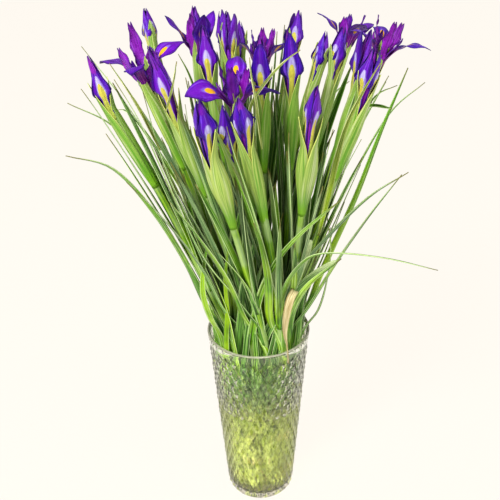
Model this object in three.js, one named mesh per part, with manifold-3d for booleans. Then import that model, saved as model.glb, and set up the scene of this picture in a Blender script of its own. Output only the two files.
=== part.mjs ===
// Twenty-five cut Dutch irises standing in a cut-glass vase with water.
// Millimetres, +Z up. The origin is the centre of the vase's foot, on the surface it stands on,
// and -Y is the front of the bunch. Each iris is two pieces, a green one (stem, sheath and leaves)
// and a violet one (bud or bloom); the glass and the water are the other two.

import * as THREE from "three";
import { mergeVertices } from "three/addons/utils/BufferGeometryUtils.js";
import Module from "manifold-3d";

const wasm = await Module();
wasm.setup();

// ---- Driving dimensions ----------------------------------------------------------------------

const GAP = 0.35; // left between pieces that touch

const VASE_HEIGHT = 200;
const RIM_RADIUS = 49.5;
const HEEL_RADIUS = 35.5; // where the rounded heel of the foot meets the straight wall
const HEEL_HEIGHT = 7;
const FOOT_RADIUS = 31;
const FOOT_EDGE = { radius: 33.9, height: 2 }; // the turn from the foot to the heel
const WALL = 3.6;
const GLASS_FLOOR = 12; // thickness of the bottom
const INNER_CORNER = 5; // the slope between the inner wall and the bottom
const WATER_LEVEL = 118;

const CUT_COLUMNS = 20; // diamonds round the glass
const CUT_ROWS = 12; // half diamonds up the glass
const CUT_FROM = 9;
const CUT_TO = 182;
const CUT_DEPTH = 1.3;
const BAND_FROM = CUT_TO + 3; // the plain band under the lip

const STEM_RADIUS = 3.1;
const STEM_FOOT = GLASS_FLOOR + 0.5;
const STEM_SIDES = 5;
const STEM_LEVELS = [STEM_FOOT, WATER_LEVEL + 2, 180, 245, 305]; // where the stem's rings lie
const STEM_ROOM = 0.3; // least distance between two stems, as a share of the bunch's radius
const HEAD_HEIGHT = 450; // where the bunch has its full spread
const FOOT_SPREAD = -12; // the stems cross over inside the vase, so they start on the far side
const NECK_SPREAD = 24;
const HEAD_SPREAD = 150;
const FOOT_LEAN = 22.5; // and they lean past each other, as in a spiral bunch
const NECK_LEAN = 27;
const UPRIGHTING = 0.6; // how strongly a flower turns upright at the end of a leaning stem

const SHEATH_LENGTH = 66;
const SHEATH_RADII = [3.2, 5.4, 7.4, 7, 4.9]; // from the stem to the mouth

// The sheath's two pointed ends: how deep they are rooted under the mouth, how far they stand from
// the middle at root and tip, and how far their edges fold round the flower.
const BRACT = { length: 32, widths: [8, 10, 7], rooted: 9, from: 3.6, to: 10.2, thick: 1.2, fold: 0.25 };

const LEAF_THICKNESS = 1.4; // at the midrib
const LOWEST_LEAF = 190; // the leaves leave their stems at five heights from here up
const LEAF_SPACING = 22;
const LEAF_TIP_BELOW = 20; // and end at six distances under their own flowers
const LEAF_TIP_SPACING = 14;
const LEAF_ROOT = 1.5; // distance of a leaf's root and of its tip from the middle of its stem
const LEAF_REACH = 13;
const LEAVES_EACH = 2; // one only on the stems in the middle of the bunch
const MIDDLE_OF_BUNCH = 0.45;
const LEAF_DIRECTIONS = 16; // directions tried for each leaf, to find the widest gap
const SAME_LEVEL = 25; // points of two leaves less than this apart in height are compared
const LEAF_STEPS = 4;
const LEAF_WIDTHS = [4.5, 7, 7, 5.6]; // from root to tip
const ARCHING_STEPS = 7;
const ARCHING_WIDTHS = [0.7, 1, 1, 0.9, 0.75, 0.55, 0.35]; // as shares of the leaf's full width

const PETAL_THICKNESS = 1.4; // along the middle
const PETAL_ROOT = 0.95; // height of a petal's root over the sheath's mouth
const BUD_LENGTH = 40; // from the sheath's mouth to the tip, on a flower of size 1
const BUD_RADII = [3.8, 5.4, 6.2, 5, 2.8];
const BUD_TWIST = 1.9; // radians from the mouth to the tip

// The spindle in the middle of a flower: how much slimmer it is than a bud, how deep the grooves
// between its three petals are, and how many of the bud's levels it reaches.
const FURLED = { sides: 9, slim: 1, lobe: 0.14, rows: 5 };
const OPENING_CORE = { sides: 6, slim: 0.65, lobe: 0, rows: 4 };
const OPEN_CORE = { sides: 6, slim: 1.25, lobe: 0, rows: 1 };

// A petal: its length, its widths from root to tip, how it leans out along its length (degrees
// from upright) furled and fully open, and how far from the middle it is rooted.
const FALL = {
  length: 48,
  widths: [4, 7, 9, 17.5, 14],
  furled: [10, 6, 2, 0, 0],
  open: [18, 36, 58, 94, 126],
  root: 3.4,
};
const STANDARD = {
  length: 42,
  widths: [3.5, 7, 12.5, 11.5],
  furled: [12, 4, 0, -8],
  open: [14, 12, 4, -10],
  root: 3.2,
};
const STYLE_ARM = {
  length: 28,
  widths: [3.5, 6.5, 8.5],
  furled: [2, 0, 0],
  open: [6, 36, 24],
  root: 1.2,
};
const HALF_OPEN_FALL = {
  length: 41,
  widths: [5, 10.5, 11.5, 8],
  furled: [17, 4, -5, -12],
  open: [24, 34, 80, 110],
  root: 2,
};

// Each iris: where its flower leaves the sheath, what the flower is doing and its size, how wide
// it has opened (0 to 1) and how far it is turned about its own stem, in degrees.
const IRISES = [
  { head: [-110, -40, 429], flower: "opening", size: 1, open: 0.08, turn: 100 },
  { head: [-80, -36, 442], flower: "bloom", size: 1, open: 0.9, turn: 152 },
  { head: [-90, 75, 450], flower: "bud", size: 0.85, open: 0, turn: 20 },
  { head: [-49, 58, 447], flower: "opening", size: 0.95, open: 0.1, turn: 70 },
  { head: [-45, 20, 446], flower: "bloom", size: 0.95, open: 0.4, turn: 175 },
  { head: [-55, -86, 434], flower: "opening", size: 1.3, open: 0.12, turn: 265 },
  { head: [-13, -82, 438], flower: "bloom", size: 1, open: 0.85, turn: 208 },
  { head: [-30, -121, 419], flower: "opening", size: 1.1, open: 0.06, turn: 250 },
  { head: [-17, -98, 412], flower: "bud", size: 1, open: 0, turn: 310 },
  { head: [-6, -119, 424], flower: "opening", size: 0.95, open: 0.05, turn: 290 },
  { head: [-33, -29, 443], flower: "opening", size: 1.08, open: 0.08, turn: 250 },
  { head: [-20, 14, 450], flower: "opening", size: 0.95, open: 0.12, turn: 280 },
  { head: [-27, 80, 446], flower: "bud", size: 0.85, open: 0, turn: 0 },
  { head: [5, -51, 439], flower: "opening", size: 1.12, open: 0.15, turn: 275 },
  { head: [6, 56, 430], flower: "bloom", size: 0.9, open: 0.7, turn: 90 },
  { head: [27, -42, 438], flower: "opening", size: 1.15, open: 0.15, turn: 250 },
  { head: [50, 2, 442], flower: "bud", size: 0.85, open: 0, turn: 30 },
  { head: [34, -126, 428], flower: "opening", size: 1.25, open: 0.08, turn: 270 },
  { head: [61, -16, 447], flower: "bud", size: 0.9, open: 0, turn: 300 },
  { head: [78, 58, 446], flower: "bloom", size: 0.85, open: 0.7, turn: 40 },
  { head: [76, -34, 437], flower: "opening", size: 1.12, open: 0.12, turn: 190 },
  { head: [101, 19, 444], flower: "bloom", size: 0.95, open: 0.85, turn: 330 },
  { head: [73, -85, 443], flower: "opening", size: 1, open: 0.12, turn: 260 },
  { head: [-13, 106, 434], flower: "bud", size: 0.8, open: 0, turn: 60 },
  { head: [36, 98, 436], flower: "opening", size: 0.95, open: 0.15, turn: 120 },
];

// Long leaves that arch clear of the bunch: the iris each grows on, the height it leaves the stem
// at, its width, how far its face is turned about its own length (degrees) and the points it
// passes on its way to the tip.
const ARCHING_LEAVES = [
  {
    iris: 0, from: 200, width: 7, turned: 45,
    via: [[-46, -27, 238], [-61, -36, 290], [-82, -50, 345], [-108, -61, 388], [-140, -70, 403]],
  },
  {
    iris: 1, from: 205, width: 7, turned: 45,
    via: [[-43, -16, 240], [-62, -16, 300], [-84, -14, 355], [-112, -16, 405], [-147, -20, 428]],
  },
  {
    iris: 2, from: 230, width: 5, turned: 30,
    via: [[-58, 14, 300], [-80, 8, 365], [-108, 12, 418], [-140, 20, 463]],
  },
  {
    iris: 5, from: 250, width: 5, turned: 0,
    via: [[-44, -58, 320], [-68, -66, 390], [-80, -62, 447]],
  },
  {
    iris: 5, from: 204, width: 7, turned: 0,
    via: [[-30, -36, 240], [-48, -56, 300], [-72, -78, 355], [-92, -96, 392]],
  },
  {
    iris: 7, from: 235, width: 6, turned: 0,
    via: [[-42, -66, 310], [-64, -80, 380], [-80, -83, 430], [-95, -84, 462]],
  },
  {
    iris: 7, from: 204, width: 8, turned: 0,
    via: [[-12, -48, 240], [-26, -76, 300], [-44, -100, 350], [-60, -115, 385]],
  },
  {
    iris: 9, from: 206, width: 8, turned: 0,
    via: [[10, -50, 240], [8, -80, 300], [3, -106, 345], [-2, -124, 372]],
  },
  {
    iris: 9, from: 212, width: 7, turned: -30,
    via: [[21, -60, 272], [34, -82, 314], [52, -91, 329], [95, -92, 325], [140, -86, 310]],
  },
  {
    iris: 17, from: 235, width: 7, turned: -30,
    via: [[36, -58, 295], [54, -70, 330], [84, -76, 368], [112, -76, 388]],
  },
  {
    iris: 17, from: 206, width: 8, turned: -30,
    via: [[30, -50, 250], [42, -64, 285], [66, -76, 316]],
  },
  {
    iris: 22, from: 203, width: 7, turned: 0,
    via: [[44, -34, 240], [64, -52, 295], [86, -72, 350], [104, -90, 392]],
  },
  {
    iris: 20, from: 202, width: 8, turned: -45,
    via: [[46, -12, 228], [56, -16, 262], [68, -20, 300], [84, -26, 350], [100, -26, 405], [116, -25, 452]],
  },
  {
    iris: 21, from: 205, width: 7, turned: -45,
    via: [[46, 12, 236], [66, 20, 295], [92, 28, 352], [118, 33, 400], [146, 38, 424]],
  },
  {
    iris: 19, from: 225, width: 6, turned: -30,
    via: [[60, 42, 295], [92, 52, 385], [114, 54, 440], [126, 54, 470]],
  },
  {
    iris: 19, from: 208, width: 7, turned: 0,
    via: [[48, 52, 280], [88, 84, 350], [114, 102, 392], [138, 112, 402]],
  },
  {
    iris: 24, from: 212, width: 6, turned: 0,
    via: [[22, 60, 290], [50, 92, 350], [76, 118, 390], [95, 138, 400]],
  },
  {
    iris: 23, from: 208, width: 7, turned: 0,
    via: [[-12, 64, 290], [-15, 96, 345], [-20, 125, 380], [-30, 146, 372]],
  },
  {
    iris: 12, from: 215, width: 6, turned: 0,
    via: [[-32, 56, 300], [-46, 90, 365], [-62, 118, 410], [-75, 138, 430]],
  },
  {
    iris: 2, from: 206, width: 7, turned: 0,
    via: [[-56, 44, 290], [-92, 72, 350], [-122, 94, 385], [-142, 106, 382]],
  },
];

// ---- Small helpers ---------------------------------------------------------------------------

const vec = (x, y, z) => new THREE.Vector3(x, y, z);
const clamp01 = (t) => Math.min(1, Math.max(0, t));
const radians = THREE.MathUtils.degToRad;

// Value at t (0 to 1) of a list of evenly spaced values.
function along(values, t) {
  const place = clamp01(t) * (values.length - 1);
  const i = Math.min(values.length - 2, Math.floor(place));
  return values[i] + (values[i + 1] - values[i]) * (place - i);
}

// Closed body through rings of points that run counter-clockwise about the way the body grows.
// With a tip it ends in a point. `split(r, k)` says which quads are split the other way.
function loft(rings, tip = null, split = () => false) {
  const sides = rings[0].length;
  const points = rings.flat();
  const faces = [];
  for (let r = 0; r + 1 < rings.length; r++) {
    for (let k = 0; k < sides; k++) {
      const a = r * sides + k;
      const b = r * sides + ((k + 1) % sides);
      if (split(r, k)) faces.push(a, b, a + sides, b, b + sides, a + sides);
      else faces.push(a, b, b + sides, a, b + sides, a + sides);
    }
  }
  const last = (rings.length - 1) * sides;
  for (let k = 1; k + 1 < sides; k++) {
    faces.push(0, k + 1, k);
    if (!tip) faces.push(last, last + k, last + k + 1);
  }
  if (tip) {
    points.push(tip);
    for (let k = 0; k < sides; k++) faces.push(last + k, last + ((k + 1) % sides), last + sides);
  }
  const geometry = new THREE.BufferGeometry().setFromPoints(points);
  geometry.setIndex(faces);
  return geometry;
}

function solidOf(geometry) {
  const bare = geometry.clone();
  bare.deleteAttribute("normal");
  bare.deleteAttribute("uv");
  const merged = mergeVertices(bare, 1e-4);
  return new wasm.Manifold(
    new wasm.Mesh({
      numProp: 3,
      vertProperties: new Float32Array(merged.attributes.position.array),
      triVerts: new Uint32Array(merged.index.array),
    }),
  );
}

const joined = (solids) => solids.reduce((whole, solid) => whole.add(solid));

// The largest body of a solid, so that a cut leaves no loose scrap.
function mainBody(solid) {
  return solid.decompose().reduce((best, part) => (part.volume() > best.volume() ? part : best));
}

function geometryOf(solid) {
  const mesh = solid.getMesh();
  const positions = new Float32Array(mesh.numVert * 3);
  for (let i = 0; i < mesh.numVert; i++) {
    const start = i * mesh.numProp;
    positions.set(mesh.vertProperties.subarray(start, start + 3), i * 3);
  }
  const geometry = new THREE.BufferGeometry();
  geometry.setAttribute("position", new THREE.BufferAttribute(positions, 3));
  geometry.setIndex(new THREE.BufferAttribute(mesh.triVerts, 1));
  return geometry;
}

function pieceOf(name, solid, material) {
  const mesh = new THREE.Mesh(geometryOf(solid), material);
  mesh.name = name;
  return mesh;
}

// Ring of points round a centre, square to `up`; radiusAt(angle) gives the radius.
function ring(centre, up, start, sides, radiusAt) {
  const e1 = start.clone().addScaledVector(up, -start.dot(up)).normalize();
  const e2 = up.clone().cross(e1);
  return Array.from({ length: sides }, (_, k) => {
    const angle = (k / sides) * 2 * Math.PI;
    const r = radiusAt(angle);
    return centre
      .clone()
      .addScaledVector(e1, r * Math.cos(angle))
      .addScaledVector(e2, r * Math.sin(angle));
  });
}

// A leaf, bract or petal along `spine`, sharp at both edges and ending in a point. `across` is the
// way its width runs. It is flat above with a keel below, or, with a `fold`, a thin sheet whose
// edges are lifted towards its upper face.
function blade({ spine, widths, across, thickness, fold = 0, spare = 0 }) {
  const rings = [];
  for (let r = 0; r + 1 < spine.length; r++) {
    const ahead = spine[r + 1].clone().sub(spine[Math.max(0, r - 1)]).normalize();
    const side = across.clone().addScaledVector(ahead, -across.dot(ahead)).normalize();
    const upper = side.clone().cross(ahead);
    const half = along(widths, r / (spine.length - 1)) / 2 + 2 * spare;
    const lift = 2 * half * fold;
    const at = (sideways, raised) =>
      spine[r].clone().addScaledVector(side, sideways).addScaledVector(upper, raised);
    const left = at(-half, lift);
    const right = at(half, lift);
    if (fold === 0) rings.push([left, right, at(0, -thickness)]);
    else rings.push([left, at(0, thickness / 2 + spare), right, at(0, -thickness / 2 - spare)]);
  }
  const last = spine.length - 1;
  const onwards = spine[last].clone().sub(spine[last - 1]).normalize();
  const tip = spine[last].clone().addScaledVector(onwards, 4 * spare);
  return solidOf(loft(rings, tip, (r, k) => k >= 2));
}

// ---- How the stems run -----------------------------------------------------------------------

// The whole bunch is one spiral: a stem whose place in the bunch is (u, v) stands, at each
// height, at that place turned and scaled by this pair (spread, lean). No two stems can meet.
function bunchAt(z) {
  const s = (z - STEM_FOOT) / (HEAD_HEIGHT - STEM_FOOT);
  const foot = (1 - s) * (1 - s);
  const neck = 2 * s * (1 - s);
  const spread = foot * FOOT_SPREAD + neck * NECK_SPREAD + s * s * HEAD_SPREAD;
  const lean = foot * FOOT_LEAN + neck * NECK_LEAN;
  return [spread, lean];
}

function placeAt(place, z) {
  const [spread, lean] = bunchAt(z);
  return [place[0] * spread - place[1] * lean, place[0] * lean + place[1] * spread];
}

// The stems' places in the bunch: under their heads, pushed apart until each has its room.
function stemPlaces() {
  const places = IRISES.map(({ head }) => [head[0] / HEAD_SPREAD, head[1] / HEAD_SPREAD]);
  for (let round = 0; round < 300; round++) {
    for (let i = 0; i < places.length; i++) {
      for (let j = i + 1; j < places.length; j++) {
        const dx = places[j][0] - places[i][0];
        const dy = places[j][1] - places[i][1];
        const apart = Math.hypot(dx, dy);
        if (apart >= STEM_ROOM) continue;
        const push = (STEM_ROOM - apart) / 2 / apart;
        places[i] = [places[i][0] - dx * push, places[i][1] - dy * push];
        places[j] = [places[j][0] + dx * push, places[j][1] + dy * push];
      }
      const reach = Math.hypot(...places[i]);
      if (reach > 1) places[i] = [places[i][0] / reach, places[i][1] / reach];
    }
  }
  return places;
}

const PLACES = stemPlaces();

// Centre of stem i at height z. Above the rim it bends over to its own head.
function stemAt(i, z) {
  const { head } = IRISES[i];
  const [x, y] = placeAt(PLACES[i], z);
  const [hx, hy] = placeAt(PLACES[i], head[2]);
  const t = clamp01((z - VASE_HEIGHT) / (head[2] - VASE_HEIGHT));
  return vec(x + (head[0] - hx) * t * t, y + (head[1] - hy) * t * t, z);
}

function stemDirection(i, z) {
  return stemAt(i, z).sub(stemAt(i, z - 2)).normalize();
}

// Where a flower sits: the sheath's mouth, the way the flower points and its own way round.
function headFrame(i) {
  const { head, turn } = IRISES[i];
  const up = stemDirection(i, head[2]).add(vec(0, 0, UPRIGHTING)).normalize();
  const facing = vec(Math.cos(radians(turn)), Math.sin(radians(turn)), 0);
  facing.addScaledVector(up, -facing.dot(up)).normalize();
  const outwards = (angle) => facing.clone().applyAxisAngle(up, radians(angle));
  return { mouth: vec(...head), up, outwards };
}

// ---- Green parts -----------------------------------------------------------------------------

function stemAndSheath(i, spare = 0) {
  const { mouth, up } = headFrame(i);
  const sheathFoot = mouth.z - SHEATH_LENGTH;
  const start = vec(1, 0, 0);
  const rings = [];
  for (const z of STEM_LEVELS) {
    rings.push(ring(stemAt(i, z), stemDirection(i, z), start, STEM_SIDES, () => STEM_RADIUS + spare));
  }
  SHEATH_RADII.forEach((radius, k) => {
    const z = sheathFoot + (k / (SHEATH_RADII.length - 1)) * SHEATH_LENGTH;
    const direction = z < mouth.z ? stemDirection(i, z) : up;
    rings.push(ring(stemAt(i, z), direction, start, STEM_SIDES, () => radius + spare));
  });
  return solidOf(loft(rings));
}

// The two pointed ends of the sheath, one on each side of the flower.
function bract(i, angle, spare = 0) {
  const { mouth, up, outwards } = headFrame(i);
  const out = outwards(angle);
  const steps = BRACT.widths.length;
  const spine = Array.from({ length: steps + 1 }, (_, k) => {
    const t = k / steps;
    const height = t * BRACT.length - BRACT.rooted;
    const away = BRACT.from + (BRACT.to - BRACT.from) * t;
    return mouth.clone().addScaledVector(up, height).addScaledVector(out, away);
  });
  const { widths, thick: thickness, fold } = BRACT;
  return blade({ spine, widths, across: out.clone().cross(up), thickness, fold, spare });
}

const bracts = (i, spare = 0) => [90, 270].map((angle) => bract(i, angle, spare));

// ---- Leaves among the stems ------------------------------------------------------------------

// The middle line of a leaf that keeps beside its own stem and ends at its tip's height.
function leafSpine(i, direction, from, to) {
  const out = vec(Math.cos(direction), Math.sin(direction), 0);
  return Array.from({ length: LEAF_STEPS + 1 }, (_, k) => {
    const t = k / LEAF_STEPS;
    const away = LEAF_ROOT + (LEAF_REACH - LEAF_ROOT) * Math.pow(t, 0.8);
    return stemAt(i, from + (to - from) * t).addScaledVector(out, away);
  });
}

// How much room a leaf's line has: the least distance to the other stems and leaves.
function roomFor(i, spine, placed) {
  let room = Infinity;
  for (const point of spine.slice(1)) {
    IRISES.forEach(({ head }, j) => {
      if (j === i) return;
      const radius = point.z > head[2] - SHEATH_LENGTH ? Math.max(...SHEATH_RADII) : STEM_RADIUS;
      room = Math.min(room, stemAt(j, point.z).distanceTo(point) - radius);
    });
    for (const other of placed) {
      const off = (p) => Math.abs(p.z - point.z);
      const near = other.spine.reduce((best, p) => (off(p) < off(best) ? p : best));
      if (off(near) < SAME_LEVEL) room = Math.min(room, near.distanceTo(point));
    }
  }
  return room;
}

// Each leaf turns to the widest gap that is still free.
function placeLeaves() {
  const placed = [];
  for (let turn = 0; turn < LEAVES_EACH; turn++) {
    for (let i = 0; i < IRISES.length; i++) {
      if (turn > 0 && Math.hypot(...PLACES[i]) < MIDDLE_OF_BUNCH) continue;
      const from = LOWEST_LEAF + LEAF_SPACING * ((i * 7 + turn * 3) % 5);
      const below = LEAF_TIP_BELOW + LEAF_TIP_SPACING * ((i * 5 + turn * 4) % 6);
      const to = IRISES[i].head[2] - below;
      let best = null;
      for (let k = 0; k < LEAF_DIRECTIONS; k++) {
        const direction = (k / LEAF_DIRECTIONS) * 2 * Math.PI;
        const spine = leafSpine(i, direction, from, to);
        const room = roomFor(i, spine, placed);
        if (!best || room > best.room) best = { iris: i, spine, direction, room };
      }
      if (best.room > Math.max(...LEAF_WIDTHS) / 2) placed.push(best);
    }
  }
  return placed;
}

const LEAVES = placeLeaves();

function leaf({ spine, direction }) {
  const across = vec(Math.sin(direction), -Math.cos(direction), 0);
  return blade({ spine, widths: LEAF_WIDTHS, across, thickness: LEAF_THICKNESS });
}

function archingLeaf({ iris, from, width, turned, via }) {
  const curve = new THREE.CatmullRomCurve3([stemAt(iris, from), ...via.map((p) => vec(...p))]);
  const spine = curve.getSpacedPoints(ARCHING_STEPS);
  const reach = spine[spine.length - 1].clone().sub(spine[0]).normalize();
  const across = vec(reach.y, -reach.x, 0).normalize().applyAxisAngle(reach, radians(turned));
  const widths = ARCHING_WIDTHS.map((share) => width * share);
  return blade({ spine, widths, across, thickness: LEAF_THICKNESS });
}

function greenOf(i) {
  return joined([
    stemAndSheath(i),
    ...bracts(i),
    ...LEAVES.filter((entry) => entry.iris === i).map(leaf),
    ...ARCHING_LEAVES.filter((entry) => entry.iris === i).map(archingLeaf),
  ]);
}

// ---- Flowers ---------------------------------------------------------------------------------

// The furled flower: a pointed spindle of three petals wound round each other. A flower that has
// begun to open keeps a slimmer one in its middle, and an open one only its lowest part.
function spindle(i, { sides, slim, lobe, rows }) {
  const { mouth, up, outwards } = headFrame(i);
  const length = BUD_LENGTH * IRISES[i].size;
  const rings = BUD_RADII.slice(0, rows).map((radius, k) => {
    const t = k / BUD_RADII.length;
    const centre = mouth.clone().addScaledVector(up, GAP + t * length);
    const lobed = (angle) => radius * slim * (1 - lobe + lobe * Math.cos(3 * (angle - BUD_TWIST * t)));
    return ring(centre, up, outwards(0), sides, lobed);
  });
  const tip = mouth.clone().addScaledVector(up, GAP + (rows / BUD_RADII.length) * length);
  return solidOf(loft(rings, tip));
}

// A petal at one angle round the flower.
function petal(i, kind, angle) {
  const { mouth, up, outwards } = headFrame(i);
  const { size, open } = IRISES[i];
  const out = outwards(angle);
  const steps = kind.open.length;
  const spine = [mouth.clone().addScaledVector(out, kind.root).addScaledVector(up, PETAL_ROOT)];
  for (let k = 0; k < steps; k++) {
    const lean = radians(kind.furled[k] + (kind.open[k] - kind.furled[k]) * open);
    const stride = (kind.length * size) / steps;
    const next = spine[k].clone();
    next.addScaledVector(out, Math.sin(lean) * stride).addScaledVector(up, Math.cos(lean) * stride);
    spine.push(next);
  }
  const across = out.clone().cross(up);
  return blade({ spine, widths: kind.widths, across, thickness: PETAL_THICKNESS });
}

const threeOf = (i, kind, first) => [0, 120, 240].map((angle) => petal(i, kind, first + angle));

function violetOf(i) {
  const shapes = {
    bud: () => [spindle(i, FURLED)],
    opening: () => [spindle(i, OPENING_CORE), ...threeOf(i, HALF_OPEN_FALL, 0)],
    bloom: () => [
      spindle(i, OPEN_CORE),
      ...threeOf(i, FALL, 0),
      ...threeOf(i, STANDARD, 60),
      ...threeOf(i, STYLE_ARM, 0),
    ],
  };
  const whole = joined(shapes[IRISES[i].flower]());
  const sheath = joined([stemAndSheath(i, GAP), ...bracts(i, GAP)]);
  return mainBody(whole.subtract(sheath));
}

// ---- Glass and water -------------------------------------------------------------------------

// Outside radius of the straight wall.
function wallRadius(z) {
  const t = (z - HEEL_HEIGHT) / (VASE_HEIGHT - HEEL_HEIGHT);
  return HEEL_RADIUS + (RIM_RADIUS - HEEL_RADIUS) * t;
}

const innerRadius = (z) => wallRadius(z) - WALL;

// The diamonds are four-sided points between grooves that run both ways round the glass.
function vase() {
  const sides = 2 * CUT_COLUMNS;
  const level = (radius, z) => ring(vec(0, 0, z), vec(0, 0, 1), vec(1, 0, 0), sides, () => radius);
  const cutRow = (row) => {
    const z = CUT_FROM + (row / CUT_ROWS) * (CUT_TO - CUT_FROM);
    const grooved = (angle) => {
      const k = Math.round((angle / (2 * Math.PI)) * sides);
      return wallRadius(z) - ((k + row) % 2 === 0 ? CUT_DEPTH : 0);
    };
    return ring(vec(0, 0, z), vec(0, 0, 1), vec(1, 0, 0), sides, grooved);
  };
  const rings = [level(FOOT_RADIUS, 0), level(FOOT_EDGE.radius, FOOT_EDGE.height)];
  const firstCut = rings.length;
  for (let row = 0; row <= CUT_ROWS; row++) rings.push(cutRow(row));
  rings.push(
    level(wallRadius(BAND_FROM), BAND_FROM),
    level(RIM_RADIUS, VASE_HEIGHT),
    level(innerRadius(VASE_HEIGHT), VASE_HEIGHT),
    level(innerRadius(GLASS_FLOOR + INNER_CORNER), GLASS_FLOOR + INNER_CORNER),
    level(innerRadius(GLASS_FLOOR) - INNER_CORNER / 2, GLASS_FLOOR),
  );
  const acrossGroove = (r, k) => (r - firstCut + k) % 2 !== 0;
  return solidOf(loft(rings, null, acrossGroove));
}

function water() {
  const sides = 2 * CUT_COLUMNS;
  const level = (radius, z) => ring(vec(0, 0, z), vec(0, 0, 1), vec(1, 0, 0), sides, () => radius - GAP);
  const body = solidOf(
    loft([
      level(innerRadius(GLASS_FLOOR) - INNER_CORNER / 2, GLASS_FLOOR + GAP),
      level(innerRadius(GLASS_FLOOR + INNER_CORNER), GLASS_FLOOR + INNER_CORNER + GAP),
      level(innerRadius(WATER_LEVEL), WATER_LEVEL),
    ]),
  );
  return IRISES.reduce((rest, _, i) => rest.subtract(stemAndSheath(i, GAP)), body);
}

// ---- The whole object ------------------------------------------------------------------------

const glassFinish = new THREE.MeshStandardMaterial({ color: 0xdfe8e4, roughness: 0.04, metalness: 0 });
const waterFinish = new THREE.MeshStandardMaterial({ color: 0xc4d8b4, roughness: 0.02, metalness: 0 });
const greenFinish = new THREE.MeshStandardMaterial({ color: 0x6f9a3f, roughness: 0.5, metalness: 0 });
const violetFinish = new THREE.MeshStandardMaterial({ color: 0x4b189c, roughness: 0.55, metalness: 0 });

const bunch = new THREE.Group();
bunch.add(pieceOf("vase", vase(), glassFinish));
bunch.add(pieceOf("water", water(), waterFinish));
IRISES.forEach(({ flower }, i) => {
  const number = String(i + 1).padStart(2, "0");
  bunch.add(pieceOf(`iris_${number}_green`, greenOf(i), greenFinish));
  bunch.add(pieceOf(`iris_${number}_${flower === "bud" ? "bud" : "bloom"}`, violetOf(i), violetFinish));
});

export default bunch;
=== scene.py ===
"""Cut irises in a cut-glass vase of water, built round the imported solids.

Sizes are millimetres until a mesh is written, where MM turns them into metres. +Z is up and -Y is
the front of the bunch. The table of irises, the run of the stems and the places of the long leaves
are those of the solids, so every piece stays where the node that it replaces is. The loose leaves
and the finer cut of the glass are only here.
"""

from __future__ import annotations

import logging
import math
from collections.abc import Callable, Sequence
from dataclasses import dataclass, field, replace
from enum import Enum
from functools import partial

import bpy
import numpy as np
from mathutils import Matrix, Vector

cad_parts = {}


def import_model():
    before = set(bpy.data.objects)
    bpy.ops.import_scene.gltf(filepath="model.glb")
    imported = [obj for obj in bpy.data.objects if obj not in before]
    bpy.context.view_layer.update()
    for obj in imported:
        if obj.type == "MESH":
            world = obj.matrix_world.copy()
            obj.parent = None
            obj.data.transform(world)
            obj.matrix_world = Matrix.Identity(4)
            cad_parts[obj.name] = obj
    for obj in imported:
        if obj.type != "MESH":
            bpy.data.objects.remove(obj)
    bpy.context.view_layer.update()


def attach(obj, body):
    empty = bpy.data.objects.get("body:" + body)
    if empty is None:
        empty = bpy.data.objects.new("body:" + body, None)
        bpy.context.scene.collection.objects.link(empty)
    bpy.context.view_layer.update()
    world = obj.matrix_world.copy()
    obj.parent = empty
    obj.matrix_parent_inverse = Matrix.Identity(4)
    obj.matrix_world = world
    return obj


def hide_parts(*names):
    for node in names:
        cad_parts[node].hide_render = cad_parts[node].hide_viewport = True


LOG = logging.getLogger("irises")
MM = 0.001
UP = np.array([0.0, 0.0, 1.0])
LEAF_THICKNESS = 0.5
LEAF_POINTS = 60
GLASS_BENDING = 1.5
WATER_BENDING = 1.333
Array = np.ndarray
Chance = np.random.Generator
Grid = tuple[int, int]
Piece = bpy.types.Object
Point = tuple[float, float, float]
Socket = bpy.types.NodeSocket
Surface = Callable[[Array, Array], Array]
Value = Socket | float | str


# ---- Numbers and curves ------------------------------------------------------------------------


def unit(vectors: Array) -> Array:
    """Vectors of length one."""
    return vectors / np.linalg.norm(vectors, axis=-1, keepdims=True)


def smooth(low: float, high: float, values: Array) -> Array:
    """0 below low, 1 above high, and an S-curve between them."""
    t = np.clip((np.asarray(values, float) - low) / (high - low), 0.0, 1.0)
    return t * t * (3.0 - 2.0 * t)


def ease(values: Sequence, t: Array) -> Array:
    """Reads a smooth curve through evenly spaced values.

    Args:
        values: Numbers or points, the first at t 0 and the last at t 1.
        t: Where to read, 0 to 1.

    Returns:
        One value or point for each t.
    """
    knots = np.asarray(values, float)
    padded = np.concatenate([[2 * knots[0] - knots[1]], knots, [2 * knots[-1] - knots[-2]]])
    place = np.clip(t, 0.0, 1.0) * (len(knots) - 1)
    i = np.minimum(place.astype(int), len(knots) - 2)
    f = place - i
    if knots.ndim > 1:
        f = f[:, None]
    a, b, c, d = (padded[i + k] for k in range(4))
    bend = (2 * a - 5 * b + 4 * c - d) * f * f + (3 * b - a - 3 * c + d) * f * f * f
    return 0.5 * (2 * b + (c - a) * f + bend)


def rotated(vectors: Array, axis: Array, angle: Array | float) -> Array:
    """Turns vectors about an axis.

    Args:
        vectors: What is turned.
        axis: The axis, of length one.
        angle: How far, in radians.

    Returns:
        The turned vectors.
    """
    angle = np.asarray(angle, float)[..., None]
    along = np.sum(vectors * axis, axis=-1, keepdims=True) * axis
    across = np.cross(axis, vectors)
    return along + (vectors - along) * np.cos(angle) + across * np.sin(angle)


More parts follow.
